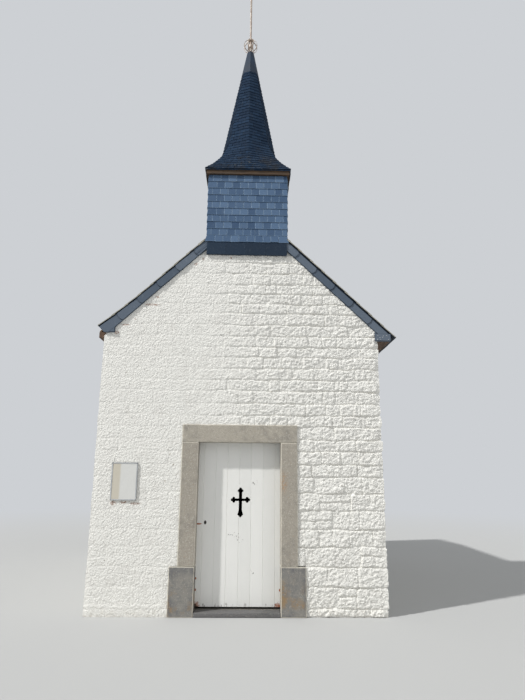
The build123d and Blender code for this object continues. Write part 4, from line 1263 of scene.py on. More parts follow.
@dataclass
class Slating:
    """How slates are cut and laid: in bond, each tail lying on the course below."""

    width: float
    thickness: float = 0.006
    tail: float = 0.011
    head: float = 0.004
    lap: float = 0.35
    gap: float = 0.0015
    play: float = 0.0012
    dressed: float = 0.0014
    bond: float = 0.5
    bond_play: float = 0.06
    least_share: float = 0.18
    head_loose: float = 0.3
    arc: float = 0.0
    arc_cuts: int = 7
    lift: Callable[[float], float] | None = None
    seed: int = 1

    def plate(
        self, work: Workpiece, bed: SlateBed, across: Pair, levels: Pair, tops: Pair, under: float
    ) -> list[bmesh.types.BMEdge]:
        """Adds one slab that follows a facet.

        Args:
            work: The mesh that it joins.
            bed: The facet.
            across: The shares across of its left and right sides.
            levels: The levels of its tail and head.
            tops: The heights of its upper face at tail and head.
            under: Its thickness.

        Returns:
            The dressed edges: the upper ones, apart from the head's.
        """
        corners = bmesh.ops.create_cube(work.bm, size=2)["verts"]
        if self.arc:
            runs = dict.fromkeys(edge for corner in corners for edge in corner.link_edges)
            runs = [edge for edge in runs if edge.verts[0].co.x * edge.verts[1].co.x < 0]
            made = bmesh.ops.subdivide_edges(work.bm, edges=runs, cuts=self.arc_cuts, use_grid_fill=True)
            inner = [item for item in made["geom_inner"] if isinstance(item, bmesh.types.BMVert)]
            faces = dict.fromkeys(face for corner in inner for face in corner.link_faces)
            corners = list(dict.fromkeys(corner for face in faces for corner in face.verts))
        roles = {}
        for corner in corners:
            side, (end, upper) = corner.co.x, (int(part > 0) for part in corner.co.yz)
            height = tops[end] - (0 if upper else under)
            roles[corner] = (end, upper, side)
            level = levels[end] - (0 if end else self.arc * (1 - side * side))
            corner.co = bed.point(across[0] + (across[1] - across[0]) * (side + 1) / 2, level, height)
        dressed = []
        for edge in dict.fromkeys(edge for corner in corners for edge in corner.link_edges):
            (end, upper, side), (far_end, far_upper, far_side) = (roles[vertex] for vertex in edge.verts)
            outer = side == far_side and abs(side) == 1
            if upper and far_upper and (end + far_end == 0 or end != far_end and outer):
                dressed.append(edge)
        return dressed

    def lay(self, work: Workpiece, bed: SlateBed, first: int = 0) -> list[bmesh.types.BMEdge]:
        """Lays the courses of a facet.

        Args:
            work: The mesh that they join.
            bed: The facet.
            first: The number of the lowest course, which sets the bond.

        Returns:
            The slates' dressed edges.
        """
        play = random.Random(self.seed)
        dressed = []
        for course, (low, high) in enumerate(zip(bed.levels, bed.levels[1:]), first):
            breadth = (bed.right(low)[0] - bed.left(low)[0]).length
            count = max(1, round(breadth / self.width))
            stray = play.uniform(-self.bond_play, self.bond_play) * (count > 1)
            shift = self.bond * (course % 2) + stray
            joints = [(n + shift) / count for n in range(-1, count + 1)]
            least = self.least_share / count
            inner = [joint for joint in joints if least < joint < 1 - least]
            joints = [0.0, *inner, 1.0]
            head = min(high + (high - low) * self.lap, bed.levels[-1])
            for near, far in zip(joints, joints[1:]):
                gap = self.gap / max(breadth, self.gap)
                sides = (near + gap * (near > 0), far - gap * (far < 1))
                loose = play.uniform(0, self.play)
                tail = low + play.uniform(-self.play, self.play)
                fall = (self.tail - self.head) * (head - low) / (high - low)
                lifts = [self.lift(level) if self.lift else 0.0 for level in (tail, head)]
                upper = max(self.tail - fall, self.head) + loose * self.head_loose
                tops = (self.tail + loose + lifts[0], upper + lifts[1])
                dressed += self.plate(work, bed, sides, (tail, head), tops, self.thickness)
        return dressed

    def dress(self, work: Workpiece, edges: list[bmesh.types.BMEdge]) -> None:
        """Bevels the dressed edges and gives them the second finish."""
        for face in work.bevel([edge for edge in edges if edge.is_valid], self.dressed):
            face.material_index = 1


def slates(**sizes: float) -> Slating:
    """Gives a dataclass field that holds slating of these sizes."""
    return field(default_factory=partial(Slating, **sizes))


@dataclass
class RoofSlating:
    """The slates on the two slopes, laid round the belfry."""

    roof: RoofLines
    gauge: float = 0.2
    slating: Slating = slates(width=0.2, thickness=0.0095, tail=0.0225, head=0.0145, lap=0.25, seed=5)
    least_top: float = 0.3
    bed_height: float = 0.012
    bed_gap: float = 0.0005
    bed_inset: float = 0.02
    fillet: float = 0.85
    left_drip: float = -0.02
    end_on: float = 0.9

    def levels(self, reach: float) -> list[float]:
        """Gives the levels of the courses up to a distance from the eaves."""
        count = math.ceil(reach / self.gauge - self.least_top)
        return [n * self.gauge for n in range(count)] + [reach]

    def build(self) -> None:
        """Builds both slopes."""
        for side, name in SIDES:
            low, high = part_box(f"roof_slates_{name}")
            half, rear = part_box("belfry_front")[1].x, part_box("belfry_back")[1].y
            drip = high.x if side > 0 else self.roof.half_span + self.left_drip
            self.slating.lift = partial(self.roof.lift, side)
            climb = self.roof.climb(side)
            reach, beside = self.roof.along(drip), self.roof.along(drip - half)
            work = Workpiece(f"slates_{name}")
            whole = int(beside / self.gauge)
            levels = self.levels(reach)
            edges = []
            foot_z = self.roof.height(drip)
            stretches = (
                (low.y, high.y, levels[: whole + 1], 0),
                (low.y, rear, [levels[whole], beside], whole),
                (rear, high.y, levels[whole:], whole),
            )
            for near, far, part, first in stretches:
                ends = [Vector((side * drip, y, foot_z)) for y in (near, far)]
                left, right = ends if side > 0 else reversed(ends)
                bed = SlateBed.plain(left, right, climb, part)
                edges += self.slating.lay(work, bed, first)
                inset = self.bed_inset / (far - near)
                inner = (inset, 1 - inset) if first == 0 else (0, 1)
                foot = max(part[0], self.roof.along(drip - self.roof.half_span) + self.bed_inset)
                ends, tops = (foot, part[-1]), (self.bed_height, self.bed_height)
                self.slating.plate(work, bed, inner, ends, tops, self.bed_height - self.bed_gap)
                if self.roof.lift(side, 0) and first == 0:
                    ends = (foot, foot + self.roof.lift_reach / 2)
                    tops = (self.bed_height + self.roof.lift(side, 0) * self.fillet, self.bed_height)
                    self.slating.plate(work, bed, inner, ends, tops, self.bed_height - self.bed_gap)
            self.slating.dress(work, edges)
            work.bm.normal_update()
            # Faces that end the slates at a verge get the pale verge finish; the inner end faces, such as the
            # beds' inset ends, get painted shade.
            for face in work.bm.faces:
                if abs(face.normal.y) > self.end_on:
                    y = face.calc_center_median().y
                    face.material_index = 3 if min(y - low.y, high.y - y) > self.bed_inset / 2 else 2
            finishes = [Finishes.ROOF, Finishes.DARK_EDGE, Finishes.VERGE, Finishes.PAINTED_SHADE]
            work.done(finishes, "roof_slate", [f"roof_slates_{name}"])


@dataclass
class BelfrySlating:
    """The hung slates on the four sides of the belfry, and the apron at its front."""

    roof: RoofLines
    gauge: float = 0.093
    slating: Slating = slates(width=0.105, tail=0.0135, head=0.002, dressed=0.0035)
    kicked: Slating = slates(width=0.105, tail=0.027, head=0.009, dressed=0.0042, play=0.004)
    flashed: Slating = slates(width=0.105, tail=0.0145, head=0.003, dressed=0.0035)
    sheets: Slating = slates(width=0.27, thickness=0.005, tail=0.005, head=0.005, lap=0, play=0.003)
    kick_gap: float = 0.012
    soffit_gap: float = 0.001
    roof_slates: float = 0.024
    flashing: float = 0.11
    flashing_lap: float = 0.012

    def levels(self, low: float, high: float) -> list[float]:
        """Shares a height out in courses near the gauge: their tails, and the head."""
        count = max(1, round((high - low) / self.gauge))
        return [low + (high - low) * n / count for n in range(count + 1)]

    def panel(self, left: Vector, right: Vector, levels: list[float], corners: tuple[bool, bool]) -> SlateBed:
        """Makes an upright facet that meets its neighbours at mitred corners.

        Args:
            left: The foot of its left edge, at ground level.
            right: The foot of its right edge.
            levels: The heights of the courses.
            corners: Whether each edge is a corner.

        Returns:
            The facet.
        """
        across = (right - left).normalized()
        out = across.cross(UP)
        outs = (out - across * corners[0], out + across * corners[1])
        return SlateBed(SlateBed.edge(left, UP, outs[0]), SlateBed.edge(right, UP, outs[1]), levels)

    def build(self) -> None:
        """Builds the four sides and the apron."""
        low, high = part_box("belfry_front")[0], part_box("belfry_back")[1]
        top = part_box("spire_soffit")[0].z - self.soffit_gap
        apron_low, apron_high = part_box("belfry_apron")
        side_foot = self.roof.height(high.x, self.roof_slates) + self.flashing - self.flashing_lap
        corners = [Vector((low.x, low.y, 0)), Vector((high.x, low.y, 0))]
        corners += [Vector((high.x, high.y, 0)), Vector((low.x, high.y, 0))]
        mitred, side_levels = (True, True), self.levels(side_foot, top)
        work = Workpiece("belfry_slates")
        levels = self.levels(apron_high.z + self.kick_gap, top)
        edges = self.kicked.lay(work, self.panel(*corners[:2], levels[:2], mitred))
        edges += self.slating.lay(work, self.panel(*corners[:2], levels[1:], mitred), 1)
        for left, right in (corners[1:3], (corners[3], corners[0])):
            edges += self.flashed.lay(work, self.panel(left, right, side_levels, mitred))
        self.slating.dress(work, edges)
        work.done([Finishes.HUNG, Finishes.EDGE], "hung_slate")
        for side, name in reversed(SIDES):
            work = Workpiece(f"belfry_back_slates_{name}")
            middle = Vector((0, high.y, 0))
            ends = (corners[2], middle) if side > 0 else (middle, corners[3])
            self.flashed.lay(work, self.panel(*ends, side_levels, (side > 0, side < 0)))
            work.trim([(Vector((side * high.x, high.y, side_foot)), -self.roof.outward(side))])
            work.done([Finishes.HUNG], "hung_slate")
        work = Workpiece("apron_sheets")
        left, right = Vector((apron_low.x, apron_low.y, 0)), Vector((apron_high.x, apron_low.y, 0))
        bed = self.panel(left, right, [apron_low.z, apron_high.z], (False, False))
        self.sheets.dress(work, self.sheets.lay(work, bed))
        work.done([Finishes.APRON, Finishes.DARK_EDGE], "apron_slate")


@dataclass
class Bargeboards:
    """The lapped slates along the bargeboards, and the nailed plates at the eaves."""

    roof: RoofLines
    gauge: float = 0.312
    first: float = 0.295
    slating: Slating = slates(
        width=1, thickness=0.008, tail=0.0145, head=0.003, lap=0.12, dressed=0.004, play=0.0008, bond=0.0,
        arc=0.018,
    )
    gaps: Pair = (0.002, 0.013)
    gap_height: float = 0.0015
    gap_under: float = 0.0003
    plate_thickness: float = 0.006
    plate_edge: float = 0.0035
    plate_top: float = 0.004
    nail: float = 0.0055
    nail_flat: float = 0.6
    nail_facets: int = 8
    nails: tuple[Pair, ...] = (
        (0.18, 0.74), (0.52, 0.72), (0.74, 0.75), (0.3, 0.46), (0.48, 0.49), (0.15, 0.2), (0.35, 0.2),
        (0.86, 0.22),
    )

    def facet(self, side: int, facing: int, y: float, inner: float, top: float = 0.0) -> SlateBed:
        """Makes the face of one board.

        Args:
            side: -1 on the left of the ridge and 1 on the right.
            facing: -1 at the front and 1 at the back.
            y: The place of the face.
            inner: Where the board ends near the ridge.
            top: How far the facet stays below the roof's boarding.

        Returns:
            The facet.
        """
        climb, outward, out = self.roof.climb(side), self.roof.outward(side), Vector((0, facing, 0))
        tip, foot = self.roof.tip(side, y), self.roof.lower(side, facing, y)

        def upper(level: float) -> tuple[Vector, Vector]:
            """Gives the upper edge, which follows the roof's lift, and the way out there."""
            return tip + climb * level + outward * (self.roof.lift(side, level) - top), out

        lower = SlateBed.edge(foot, climb, out)
        start = 0.0
        if not self.roof.end_cut(side, facing):
            start = max(0.0, (self.roof.plate_foot(side, facing) - foot.z) / climb.z)
        levels = [start, self.first]
        length = self.roof.along(self.roof.half_span - inner)
        while levels[-1] < length - self.gauge / 2:
            levels.append(levels[-1] + self.gauge)
        levels[-1] = length
        edges = (lower, upper) if side * facing < 0 else (upper, lower)
        return SlateBed(*edges, levels)

    def end_plane(self, side: int, facing: int) -> tuple[Vector, Vector]:
        """Gives a point on the plane that cuts a board's end square to the slope, and the side that goes."""
        climb = self.roof.climb(side)
        return self.roof.tip(side) + climb * self.roof.end_cut(side, facing), -climb

    def front_board(self, side: int, name: str) -> None:
        """Builds a front board and the part of its return that shows below it.

        Args:
            side: -1 on the left of the ridge and 1 on the right.
            name: The side's name.
        """
        low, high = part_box(f"bargeboard_front_{name}")
        tip, under = self.roof.tip(side), self.roof.lower(side, -1)
        outward, foot = self.roof.outward(side), self.roof.plate_foot(side, -1)
        ends = [self.end_plane(side, -1)] if self.roof.end_cut(side, -1) else []
        across = sorted((side * (self.roof.half_span - self.roof.return_width), side * self.roof.half_span))
        parts = (
            ("board", (low.x, high.x), [(tip, outward), (under, -outward), *ends]),
            ("return", across, [(under, outward), *ends]),
        )
        for part, (left, right), planes in parts:
            work = Workpiece(f"barge_{part}_{name}")
            work.box((left, low.y, foot), (right, high.y, high.z))
            work.trim(planes)
            work.done([Finishes.BARGE], "bargeboard_slate", [f"bargeboard_front_{name}"])

    def plate(self, work: Workpiece, side: int, facing: int, y: float) -> None:
        """Adds the slate that is nailed over a board's end.

        Args:
            work: The mesh that it joins.
            side: -1 on the left of the ridge and 1 on the right.
            facing: -1 at the front and 1 at the back.
            y: The place of the face.
        """
        outer, foot = self.roof.half_span, self.roof.plate_foot(side, facing)
        inner, top = outer - self.roof.return_width, self.roof.height(outer) + self.plate_top
        planes = []
        if self.roof.end_cut(side, facing):
            top = self.roof.height(inner)
            planes = [self.end_plane(side, facing), (self.roof.lower(side, facing), self.roof.outward(side))]
        across = sorted((side * inner, side * outer))
        sunk, proud = self.slating.tail / 2, self.slating.tail + self.plate_thickness
        deep = sorted((y + facing * sunk, y + facing * proud))
        piece = Workpiece("plate")
        piece.box((across[0], deep[0], foot), (across[1], deep[1], top))
        piece.trim(planes)
        # painted shade: the plate's bevels take the dark edge finish, as a shadow line round it
        for face in piece.bevel(piece.bm.edges[:], self.plate_edge):
            face.material_index = 1
        work.join(piece)

    def nail_heads(self, work: Workpiece, side: int, facing: int, y: float) -> None:
        """Adds the nails of a plate.

        Args:
            work: The mesh that they join.
            side: -1 on the left of the ridge and 1 on the right.
            facing: -1 at the front and 1 at the back.
            y: The place of the board's face.
        """
        outer, foot = self.roof.half_span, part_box("eaves_soffits")[0].z
        inner, tall = outer - self.roof.return_width, self.roof.height(outer) - foot
        face = y + facing * (self.slating.tail + self.plate_thickness)
        for share, level in self.nails:
            place = Vector((side * (inner + (outer - inner) * share), face, foot + tall * level))
            work.stud(place, self.nail, self.nail_flat, self.nail_facets)

    def build(self) -> None:
        """Builds the boards' slates, plates and nails at both ends, and a strip of painted shadow under each
        verge.
        """
        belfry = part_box("belfry_front")[1].x
        straight = Slating(width=1)
        for side, name in SIDES:
            self.front_board(side, name)
        for end, facing, inner in (("front", -1, belfry), ("back", 1, 0.0)):
            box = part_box(f"bargeboard_{end}_right")
            y = box[0].y if facing < 0 else box[1].y
            for side, name in SIDES:
                work = Workpiece(f"barge_slates_{end}_{name}")
                gap = self.gaps[side > 0]
                self.slating.dress(work, self.slating.lay(work, self.facet(side, facing, y, inner, gap)))
                if self.roof.end_cut(side, facing):
                    foot = Vector((0, y, self.roof.plate_foot(side, facing)))
                    work.trim([self.end_plane(side, facing), (foot, -UP)])
                self.plate(work, side, facing, y)
                work.done([Finishes.BARGE, Finishes.BARGE_EDGE], "bargeboard_slate")
                # painted shade: a thin near-black strip along the board's upper edge stands in for the shadow
                # line under the verge
                work = Workpiece(f"verge_painted_shade_{end}_{name}")
                bed = self.facet(side, facing, y, inner)
                share = gap / self.roof.width(side, facing)
                across = (1 - share, 1) if side * facing < 0 else (0, share)
                levels = [self.roof.end_cut(side, facing), *bed.levels[1:]]
                tops = (self.gap_height, self.gap_height)
                for ends in zip(levels, levels[1:]):
                    straight.plate(work, bed, across, ends, tops, self.gap_height - self.gap_under)
                work.done([Finishes.PAINTED_SHADE], "bargeboard_slate")
            work = Workpiece(f"plate_nails_{end}")
            for side, _ in SIDES:
                if side > 0 or facing > 0:
                    self.nail_heads(work, side, facing, y)
            work.done([Finishes.NAIL], "bargeboard_slate", smooth=60)


@dataclass
class Eaves:
    """The stained boards that close the rafters' feet."""

    roof: RoofLines
    thickness: float = 0.025
    lengths: tuple[float, ...] = (0.0, 0.36, 0.7, 1.0)
    joint: float = 0.001
    edge: float = 0.002
    end_thickness: float = 0.012

    def build(self) -> None:
        """Builds the boards of both eaves, end to end."""
        low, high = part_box("eaves_boards")
        for side, name in SIDES:
            work = Workpiece(f"eaves_boards_{name}")
            inner = side * (self.roof.half_span - self.thickness)
            x = sorted((side * self.roof.half_span, inner))
            for near, far in zip(self.lengths, self.lengths[1:]):
                start = low.y + (high.y - low.y) * near + self.joint * (near > 0)
                end = low.y + (high.y - low.y) * far - self.joint * (far < 1)
                work.box((x[0], start, low.z), (x[1], end, high.z))
            work.trim([(Vector((inner, 0, high.z)), self.roof.outward(side))])
            work.bevel(work.bm.edges[:], self.edge)
            work.done([Finishes.SOFFIT], "stained_timber", ["eaves_boards"])
        work = Workpiece("eaves_end_left")
        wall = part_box("back_wall")[0].x
        top = self.roof.plate_foot(-1, -1) + self.joint
        work.box((-self.roof.half_span, low.y - self.end_thickness, low.z), (wall, low.y, top))
        work.done([Finishes.SOFFIT], "stained_timber")


@dataclass
class SpireSlating:
    """The slates of the bell-cast foot and the octagonal shaft."""

    gauge: float = 0.054
    top_radius: float = 0.115
    taper: float = 0.19
    edge: float = 0.012
    stages: int = 5
    corners: int = 8
    seed: int = 20
    first_lift: float = 0.001
    least_top: float = 0.6
    step: float = 0.01
    face_share: float = 0.75
    slating: Slating = slates(width=0.1, thickness=0.005, tail=0.0105, head=0.003, play=0.0026)

    def __post_init__(self) -> None:
        """Reads the spire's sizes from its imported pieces."""
        foot_low, foot_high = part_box("spire_foot")
        self.centre = Vector(((foot_low.x + foot_high.x) / 2, (foot_low.y + foot_high.y) / 2, 0))
        self.eave = (foot_high.x - foot_low.x) / 2
        self.low, self.flare_top = foot_low.z + self.edge, foot_high.z
        self.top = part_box("spire_shaft")[1].z
        self.outlines = [self.stage_outline(n) for n in range(self.stages + 1)]

    def radius(self, z: float) -> float:
        """Gives the octagon's corner radius at a height."""
        return self.top_radius + (self.top - z) * self.taper

    def stage_outline(self, stage: int) -> list[Vector]:
        """Works out the corners of the bell-cast foot at the end of a stage.

        Args:
            stage: The number of stages up.

        Returns:
            Its eight corners, the one on the right first.
        """
        climb = stage / self.stages
        flare = (1 - climb) ** 2
        z = self.low + (self.flare_top - self.low) * climb
        diagonal = math.cos(math.pi / 4)
        foot = self.radius(self.low)
        d = self.radius(z) * diagonal + (self.eave - foot * diagonal) * flare
        m = self.radius(z) + (self.eave - foot) * flare
        flat = ((m, 0), (d, d), (0, m), (-d, d), (-m, 0), (-d, -d), (0, -m), (d, -d))
        return [self.centre + Vector((x, y, z)) for x, y in flat]

    def corner(self, number: int, z: float) -> Vector:
        """Finds a corner of the spire at any height.

        Args:
            number: The corner's number.
            z: The height.

        Returns:
            The corner.
        """
        if z >= self.flare_top:
            angle = number * math.tau / self.corners
            radius = self.radius(z)
            return self.centre + Vector((radius * math.cos(angle), radius * math.sin(angle), z))
        share = (z - self.low) / (self.flare_top - self.low) * self.stages
        stage = min(max(int(share), 0), self.stages - 1)
        low, high = (self.outlines[stage + up][number % self.corners] for up in (0, 1))
        return low.lerp(high, share - stage)

    def facet_out(self, number: int, z: float) -> Vector:
        """Finds the way out of the facet between a corner and the next.

        Args:
            number: The corner's number.
            z: The height.

        Returns:
            The way out, of length 1.
        """
        left, right = self.corner(number, z), self.corner(number + 1, z)
        up = self.corner(number, z + self.step) + self.corner(number + 1, z + self.step) - left - right
        return (right - left).cross(up).normalized()

    def arris(self, number: int, facet: int) -> Edge:
        """Makes the edge of a facet, where its slates meet those of the next one.

        Args:
            number: The corner's number.
            facet: The facet's number.

        Returns:
            The corner and the way out along the mitre at any height.
        """

        def at(z: float) -> tuple[Vector, Vector]:
            """Gives the corner and its way out at a height."""
            mitre = self.facet_out(number - 1, z) + self.facet_out(number, z)
            return self.corner(number, z), mitre / mitre.dot(self.facet_out(facet, z))

        return at

    def levels(self) -> list[float]:
        """Steps up the spire by the gauge, measured along its surface.

        Returns:
            The heights of the tails, and of the head.
        """
        heights = [self.low + self.first_lift]
        while heights[-1] < self.top - self.gauge * self.least_top:
            z = heights[-1]
            run = self.corner(1, z + self.step) - self.corner(1, z)
            climb = Vector((run.x * self.face_share, run.y * self.face_share, run.z)).length
            heights.append(z + self.gauge * self.step / climb)
        heights[-1] = self.top
        return heights

    def build(self) -> None:
        """Builds the slates of the eight facets as one piece."""
        work = Workpiece("spire_slates")
        edges = []
        levels = self.levels()
        for facet in range(self.corners):
            self.slating.seed = self.seed + facet
            bed = SlateBed(self.arris(facet, facet), self.arris(facet + 1, facet), levels)
            edges += self.slating.lay(work, bed)
        self.slating.dress(work, edges)
        work.done([Finishes.SPIRE, Finishes.SPIRE_EDGE], "spire_slate")


@dataclass
class CapCollar:
    """The turned collar where the spire's cap meets the rod."""

    profile: tuple[Pair, ...] = (
        (0.0, -0.012), (0.036, -0.012), (0.043, -0.006), (0.043, 0.003), (0.034, 0.015), (0.016, 0.023),
        (0.0, 0.024),
    )
    sink: float = 0.02
    facets: int = 20
    merge: float = 1e-5

    def build(self) -> None:
        """Spins the collar's profile about the rod."""
        low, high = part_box("spire_cap")
        axis = Vector(((low.x + high.x) / 2, (low.y + high.y) / 2, high.z - self.sink))
        work = Workpiece("cap_collar")
        points = [work.bm.verts.new(axis + Vector((radius, 0, rise))) for radius, rise in self.profile]
        edges = [work.bm.edges.new(pair) for pair in zip(points, points[1:])]
        turn = {"cent": axis, "axis": UP, "angle": math.tau, "steps": self.facets, "use_merge": True}
        bmesh.ops.spin(work.bm, geom=points + edges, **turn)
        bmesh.ops.remove_doubles(work.bm, verts=work.bm.verts[:], dist=self.merge)
        bmesh.ops.recalc_face_normals(work.bm, faces=work.bm.faces[:])
        work.done([Finishes.COLLAR], "sheet_zinc", smooth=40)


@dataclass
class DoorSurround:
    """The dressed stones round the doorway, chipped at their arrises, which are paler than the faces."""

    cell: float = 0.016
    arris: float = 0.0095
    wear: float = 0.0012
    wear_scale: float = 12
    wear_layers: tuple[float, float, int] = (0.9, 2.0, 3)
    wear_level: float = 0.6
    most_proud: float = 0.0006
    chip: float = 0.009
    chip_reach: float = 0.02
    knock_scale: float = 19
    knock_from: float = 0.28
    knock_gain: float = 2.2

    def stone(self, name: str, low: Vector, high: Vector, replaced: list[str], finish: Finishes) -> None:
        """Builds one stone.

        Args:
            name: The piece's name.
            low: Its lowest corner.
            high: Its highest corner.
            replaced: The node that it stands for.
            finish: Its finish.
        """
        work = Workpiece(name)
        work.box(low, high)
        for face in work.bevel(work.bm.edges[:], self.arris, 2):
            face.material_index = 1
        work.slice(self.cell)
        work.bm.normal_update()
        for vertex in work.bm.verts:
            point = vertex.co
            gaps = sorted(min(point[n] - low[n], high[n] - point[n]) for n in range(3))
            edge = 1 - smoothstep(0, self.chip_reach, gaps[1])
            knock = max(0.0, noise.noise(point * self.knock_scale) - self.knock_from) * self.knock_gain
            rough = noise.fractal(point * self.wear_scale, *self.wear_layers) - self.wear_level
            wear = self.wear * rough - self.chip * edge * knock
            vertex.co = point + vertex.normal * min(wear, self.most_proud)
            vertex.co.z = max(vertex.co.z, low.z)
        edge = Finishes.SILL if finish is Finishes.SILL else Finishes.ARRIS
        work.done([finish, edge], "dressed_limestone", replaced, smooth=40)

    def build(self) -> None:
        """Builds the two base blocks, the two jambs, the lintel and the threshold."""
        sill_low, sill_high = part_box("threshold_stone")
        for node, name, finish in (
            ("door_base_blocks", "base_block", Finishes.BASE),
            ("door_jambs", "jamb", Finishes.JAMB),
        ):
            low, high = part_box(node)
            left = (low, Vector((sill_low.x, high.y, high.z)))
            right = (Vector((sill_high.x, low.y, low.z)), high)
            self.stone(f"{name}_left", *left, [node], finish)
            self.stone(f"{name}_right", *right, [node], finish)
        self.stone("lintel", *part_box("door_lintel"), ["door_lintel"], Finishes.LINTEL)
        self.stone("threshold", sill_low, sill_high, ["threshold_stone"], Finishes.SILL)


@dataclass
class Notice:
    """The bare sheet in a thin frame, on its two battens beside the door."""

    frame_width: float = 0.013
    frame_depth: float = 0.008
    frame_front: float = 0.002
    frame_edge: float = 0.001
    sheet_front: float = 0.001
    sheet_depth: float = 0.003
    sheet_tuck: float = 0.6
    board_depth: float = 0.006
    screw: float = 0.004
    screw_flat: float = 0.4
    screw_facets: int = 10
    batten_height: float = 0.034
    batten_margin: float = 0.03
    batten_inset: float = 0.012
    batten_edge: float = 0.0015

    def build(self) -> None:
        """Builds the sheet, the frame with its screws, and the battens."""
        low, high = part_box("notice_panel")
        face, edge = low.y, self.frame_width
        work = Workpiece("notice_board")
        work.box((low.x, face + self.sheet_depth, low.z), (high.x, face + self.board_depth, high.z))
        inset = Vector((edge * self.sheet_tuck, 0, edge * self.sheet_tuck))
        sheet_low, sheet_high = low + inset, high - inset
        sheet_low.y, sheet_high.y = face + self.sheet_front, face + self.sheet_depth
        work.box(sheet_low, sheet_high)
        work.done([Finishes.SHEET], "notice_sheet", ["notice_panel"])
        work = Workpiece("notice_frame")
        bars = (
            ((low.x, low.z), (low.x + edge, high.z)),
            ((high.x - edge, low.z), (high.x, high.z)),
            ((low.x + edge, low.z), (high.x - edge, low.z + edge)),
            ((low.x + edge, high.z - edge), (high.x - edge, high.z)),
        )
        for start, end in bars:
            work.box((start[0], face - self.frame_front, start[1]), (end[0], face + self.frame_depth, end[1]))
        work.bevel(work.bm.edges[:], self.frame_edge)
        for x in (low.x + edge / 2, high.x - edge / 2):
            for z in (low.z + edge / 2, high.z - edge / 2):
                place = Vector((x, face - self.frame_front, z))
                for facet in work.stud(place, self.screw, self.screw_flat, self.screw_facets):
                    facet.material_index = 1
        work.done([Finishes.FRAME, Finishes.IRON], "notice_sheet", smooth=30)
        work = Workpiece("notice_battens")
        inset, tall = self.batten_inset, self.batten_height
        for foot in (low.z + self.batten_margin, high.z - self.batten_margin - tall):
            work.box((low.x + inset, face + self.board_depth, foot), (high.x - inset, high.y, foot + tall))
        work.bevel(work.bm.edges[:], self.batten_edge)
        work.done([Finishes.TIMBER], "notice_sheet")


NODE_FINISHES = {
    Finishes.LIMEWASH: (
        "front_wall_left", "front_wall_right", "front_gable", "back_wall", "side_wall_left", "side_wall_right"
    ),
    Finishes.FLAGS: ("floor_paving",),
    Finishes.TIMBER: (
        "rafters", "wall_plates", "ridge_beam", "belfry_frame", "roof_boarding_left", "roof_boarding_right",
        "inner_lintel"
    ),
    Finishes.BARGE: (
        "bargeboard_front_left", "bargeboard_front_right", "bargeboard_back_left", "bargeboard_back_right"
    ),
    Finishes.HUNG: ("belfry_front", "belfry_back", "belfry_sides"),
    Finishes.APRON: ("belfry_apron",),
    Finishes.SPIRE: ("spire_foot", "spire_shaft"),
    Finishes.ZINC: ("spire_cap", "ridge_cap", "belfry_flashing"),
    Finishes.FASCIA: ("spire_fascia", "spire_soffit"),
    Finishes.SOFFIT: ("eaves_soffits", "eaves_boards"),
    Finishes.DOOR: ("door_leaf", "door_ledges"),
    Finishes.IRON: ("door_straps", "door_pintles", "door_lock"),
    Finishes.FINIAL: ("finial_basket", "finial_cross"),
}


def dress_nodes() -> None:
    """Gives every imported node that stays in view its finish."""
    for finish, nodes in NODE_FINISHES.items():
        for node in nodes:
            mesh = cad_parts[node].data
            if not mesh.materials:
                mesh.materials.append(finish.material)
            for place in range(len(mesh.materials)):
                mesh.materials[place] = finish.material
            LOG.info("%s: %s", node, finish.value.name)


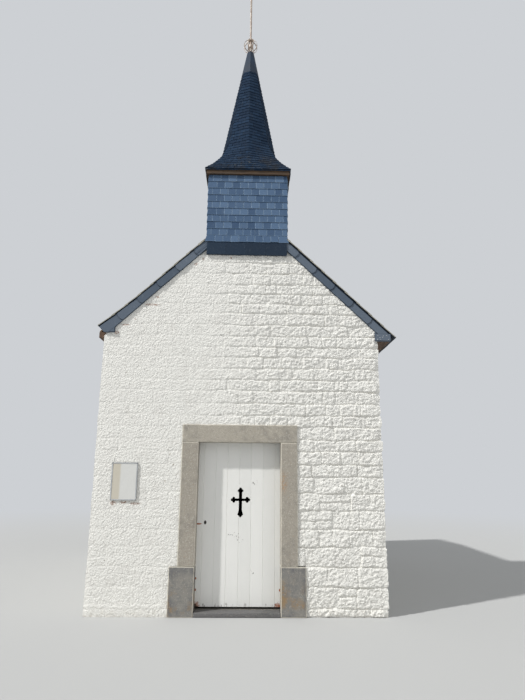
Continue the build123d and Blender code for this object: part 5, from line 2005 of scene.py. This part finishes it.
@dataclass
class Studio:
    """The pale floor, the soft light and the camera at the photograph's viewpoint."""

    place: tuple[float, float, float] = (0.08152, -8.44401, 1.552)
    yaw: float = math.radians(1.1794)
    pitch: float = math.radians(13.0099)
    roll: float = math.radians(0.5074)
    focal_pixels: float = 526
    long_side: float = 700
    sensor: float = 36
    sight: float = 200
    backdrop: Colour = colour(205, 208, 212)
    sky: Colour = (0.93, 0.96, 1.0, 1.0)
    floor: Colour = colour(190, 190, 188)
    floor_radius: float = 90
    floor_facets: int = 96
    fade: Pair = (5, 17)
    sun_strength: float = 2.9
    sun_angle: float = math.radians(2)
    sun_azimuth: float = math.radians(-61)
    sun_height: float = math.radians(43)
    sky_strength: float = 0.5
    fill_strength: float = 0.45
    fill_angle: float = math.radians(80)
    fill_azimuth: float = math.radians(35)
    fill_height: float = math.radians(25)

    def camera(self) -> None:
        """Sets up the camera."""
        flat = Vector((math.sin(self.yaw), math.cos(self.yaw), 0))
        ahead = flat * math.cos(self.pitch) + UP * math.sin(self.pitch)
        right = Vector((math.cos(self.yaw), -math.sin(self.yaw), 0))
        up = right.cross(ahead)
        turned_right = right * math.cos(self.roll) + up * math.sin(self.roll)
        turned_up = up * math.cos(self.roll) - right * math.sin(self.roll)
        data = bpy.data.cameras.new("camera")
        data.sensor_width = self.sensor
        data.lens = self.focal_pixels / self.long_side * self.sensor
        data.clip_end = self.sight
        camera = bpy.data.objects.new("camera", data)
        turn = Matrix((turned_right, turned_up, -ahead)).transposed().to_4x4()
        camera.matrix_world = Matrix.Translation(self.place) @ turn
        bpy.context.scene.collection.objects.link(camera)
        bpy.context.scene.camera = camera

    def lamp(self, name: str, strength: float, angle: float, azimuth: float, height: float) -> None:
        """Adds a far lamp.

        Args:
            name: Its name.
            strength: Its strength.
            angle: How wide it looks, which softens its shadows.
            azimuth: Its place round the chapel, from the front towards the right.
            height: How high it stands.
        """
        data = bpy.data.lights.new(name, "SUN")
        data.energy = strength
        data.angle = angle
        lamp = bpy.data.objects.new(name, data)
        level = math.cos(height)
        towards = Vector((math.sin(azimuth) * level, -math.cos(azimuth) * level, math.sin(height)))
        lamp.matrix_world = towards.to_track_quat("Z", "Y").to_matrix().to_4x4()
        bpy.context.scene.collection.objects.link(lamp)

    def light(self) -> None:
        """Sets up the sun, a weak fill from the other side and an even sky, with a plain backdrop behind."""
        self.lamp("key", self.sun_strength, self.sun_angle, self.sun_azimuth, self.sun_height)
        self.lamp("fill", self.fill_strength, self.fill_angle, self.fill_azimuth, self.fill_height)
        world = bpy.data.worlds.new("sky")
        world.use_nodes = True
        graph = Graph(world.node_tree)
        rays = ("Camera", "Glossy", "Transmission")
        seen_by = [graph.node("ShaderNodeLightPath", {}, {}, f"Is {ray} Ray") for ray in rays]
        seen = seen_by[0].maths("MAXIMUM", seen_by[0], seen_by[1])
        seen = seen.maths("MAXIMUM", seen, seen_by[2])
        sky = graph.node("ShaderNodeBackground", {}, {"Color": self.sky, "Strength": self.sky_strength})
        backdrop = graph.node("ShaderNodeBackground", {}, {"Color": self.backdrop, "Strength": 1.0})
        mixed = graph.node("ShaderNodeMixShader", {}, {0: seen, 1: sky, 2: backdrop})
        graph.node("ShaderNodeOutputWorld", {}, {"Surface": mixed})
        bpy.context.scene.world = world

    def ground(self) -> None:
        """Lays a floor that fades into the backdrop far from the chapel."""
        graph = Graph.of_material("studio_floor")
        far = graph.node("ShaderNodeVectorMath", {"operation": "LENGTH"}, {0: graph.place}, "Value")
        near = graph.node("ShaderNodeBsdfDiffuse", {}, {"Color": self.floor})
        away = graph.node("ShaderNodeEmission", {}, {"Color": self.backdrop})
        mixed = graph.node("ShaderNodeMixShader", {}, {0: far.smooth(*self.fade), 1: near, 2: away})
        graph.node("ShaderNodeOutputMaterial", {}, {"Surface": mixed})
        bm = bmesh.new()
        bmesh.ops.create_circle(bm, cap_ends=True, segments=self.floor_facets, radius=self.floor_radius)
        mesh = bpy.data.meshes.new("studio_floor")
        bm.to_mesh(mesh)
        bm.free()
        mesh.materials.append(graph.material)
        floor = bpy.data.objects.new("studio_floor", mesh)
        bpy.context.scene.collection.objects.link(floor)

    def build(self) -> None:
        """Builds the studio."""
        self.camera()
        self.light()
        self.ground()
        bpy.context.scene.view_settings.view_transform = "Standard"


def main() -> None:
    """Builds the looks of the chapel."""
    logging.basicConfig(level=logging.INFO, format="%(name)s %(message)s")
    roof = RoofLines()
    dress_nodes()
    Walls(roof).build()
    RoofSlating(roof).build()
    BelfrySlating(roof).build()
    Bargeboards(roof).build()
    Eaves(roof).build()
    SpireSlating().build()
    CapCollar().build()
    DoorSurround().build()
    Notice().build()
    Studio().build()


if __name__ == "__main__":
    main()
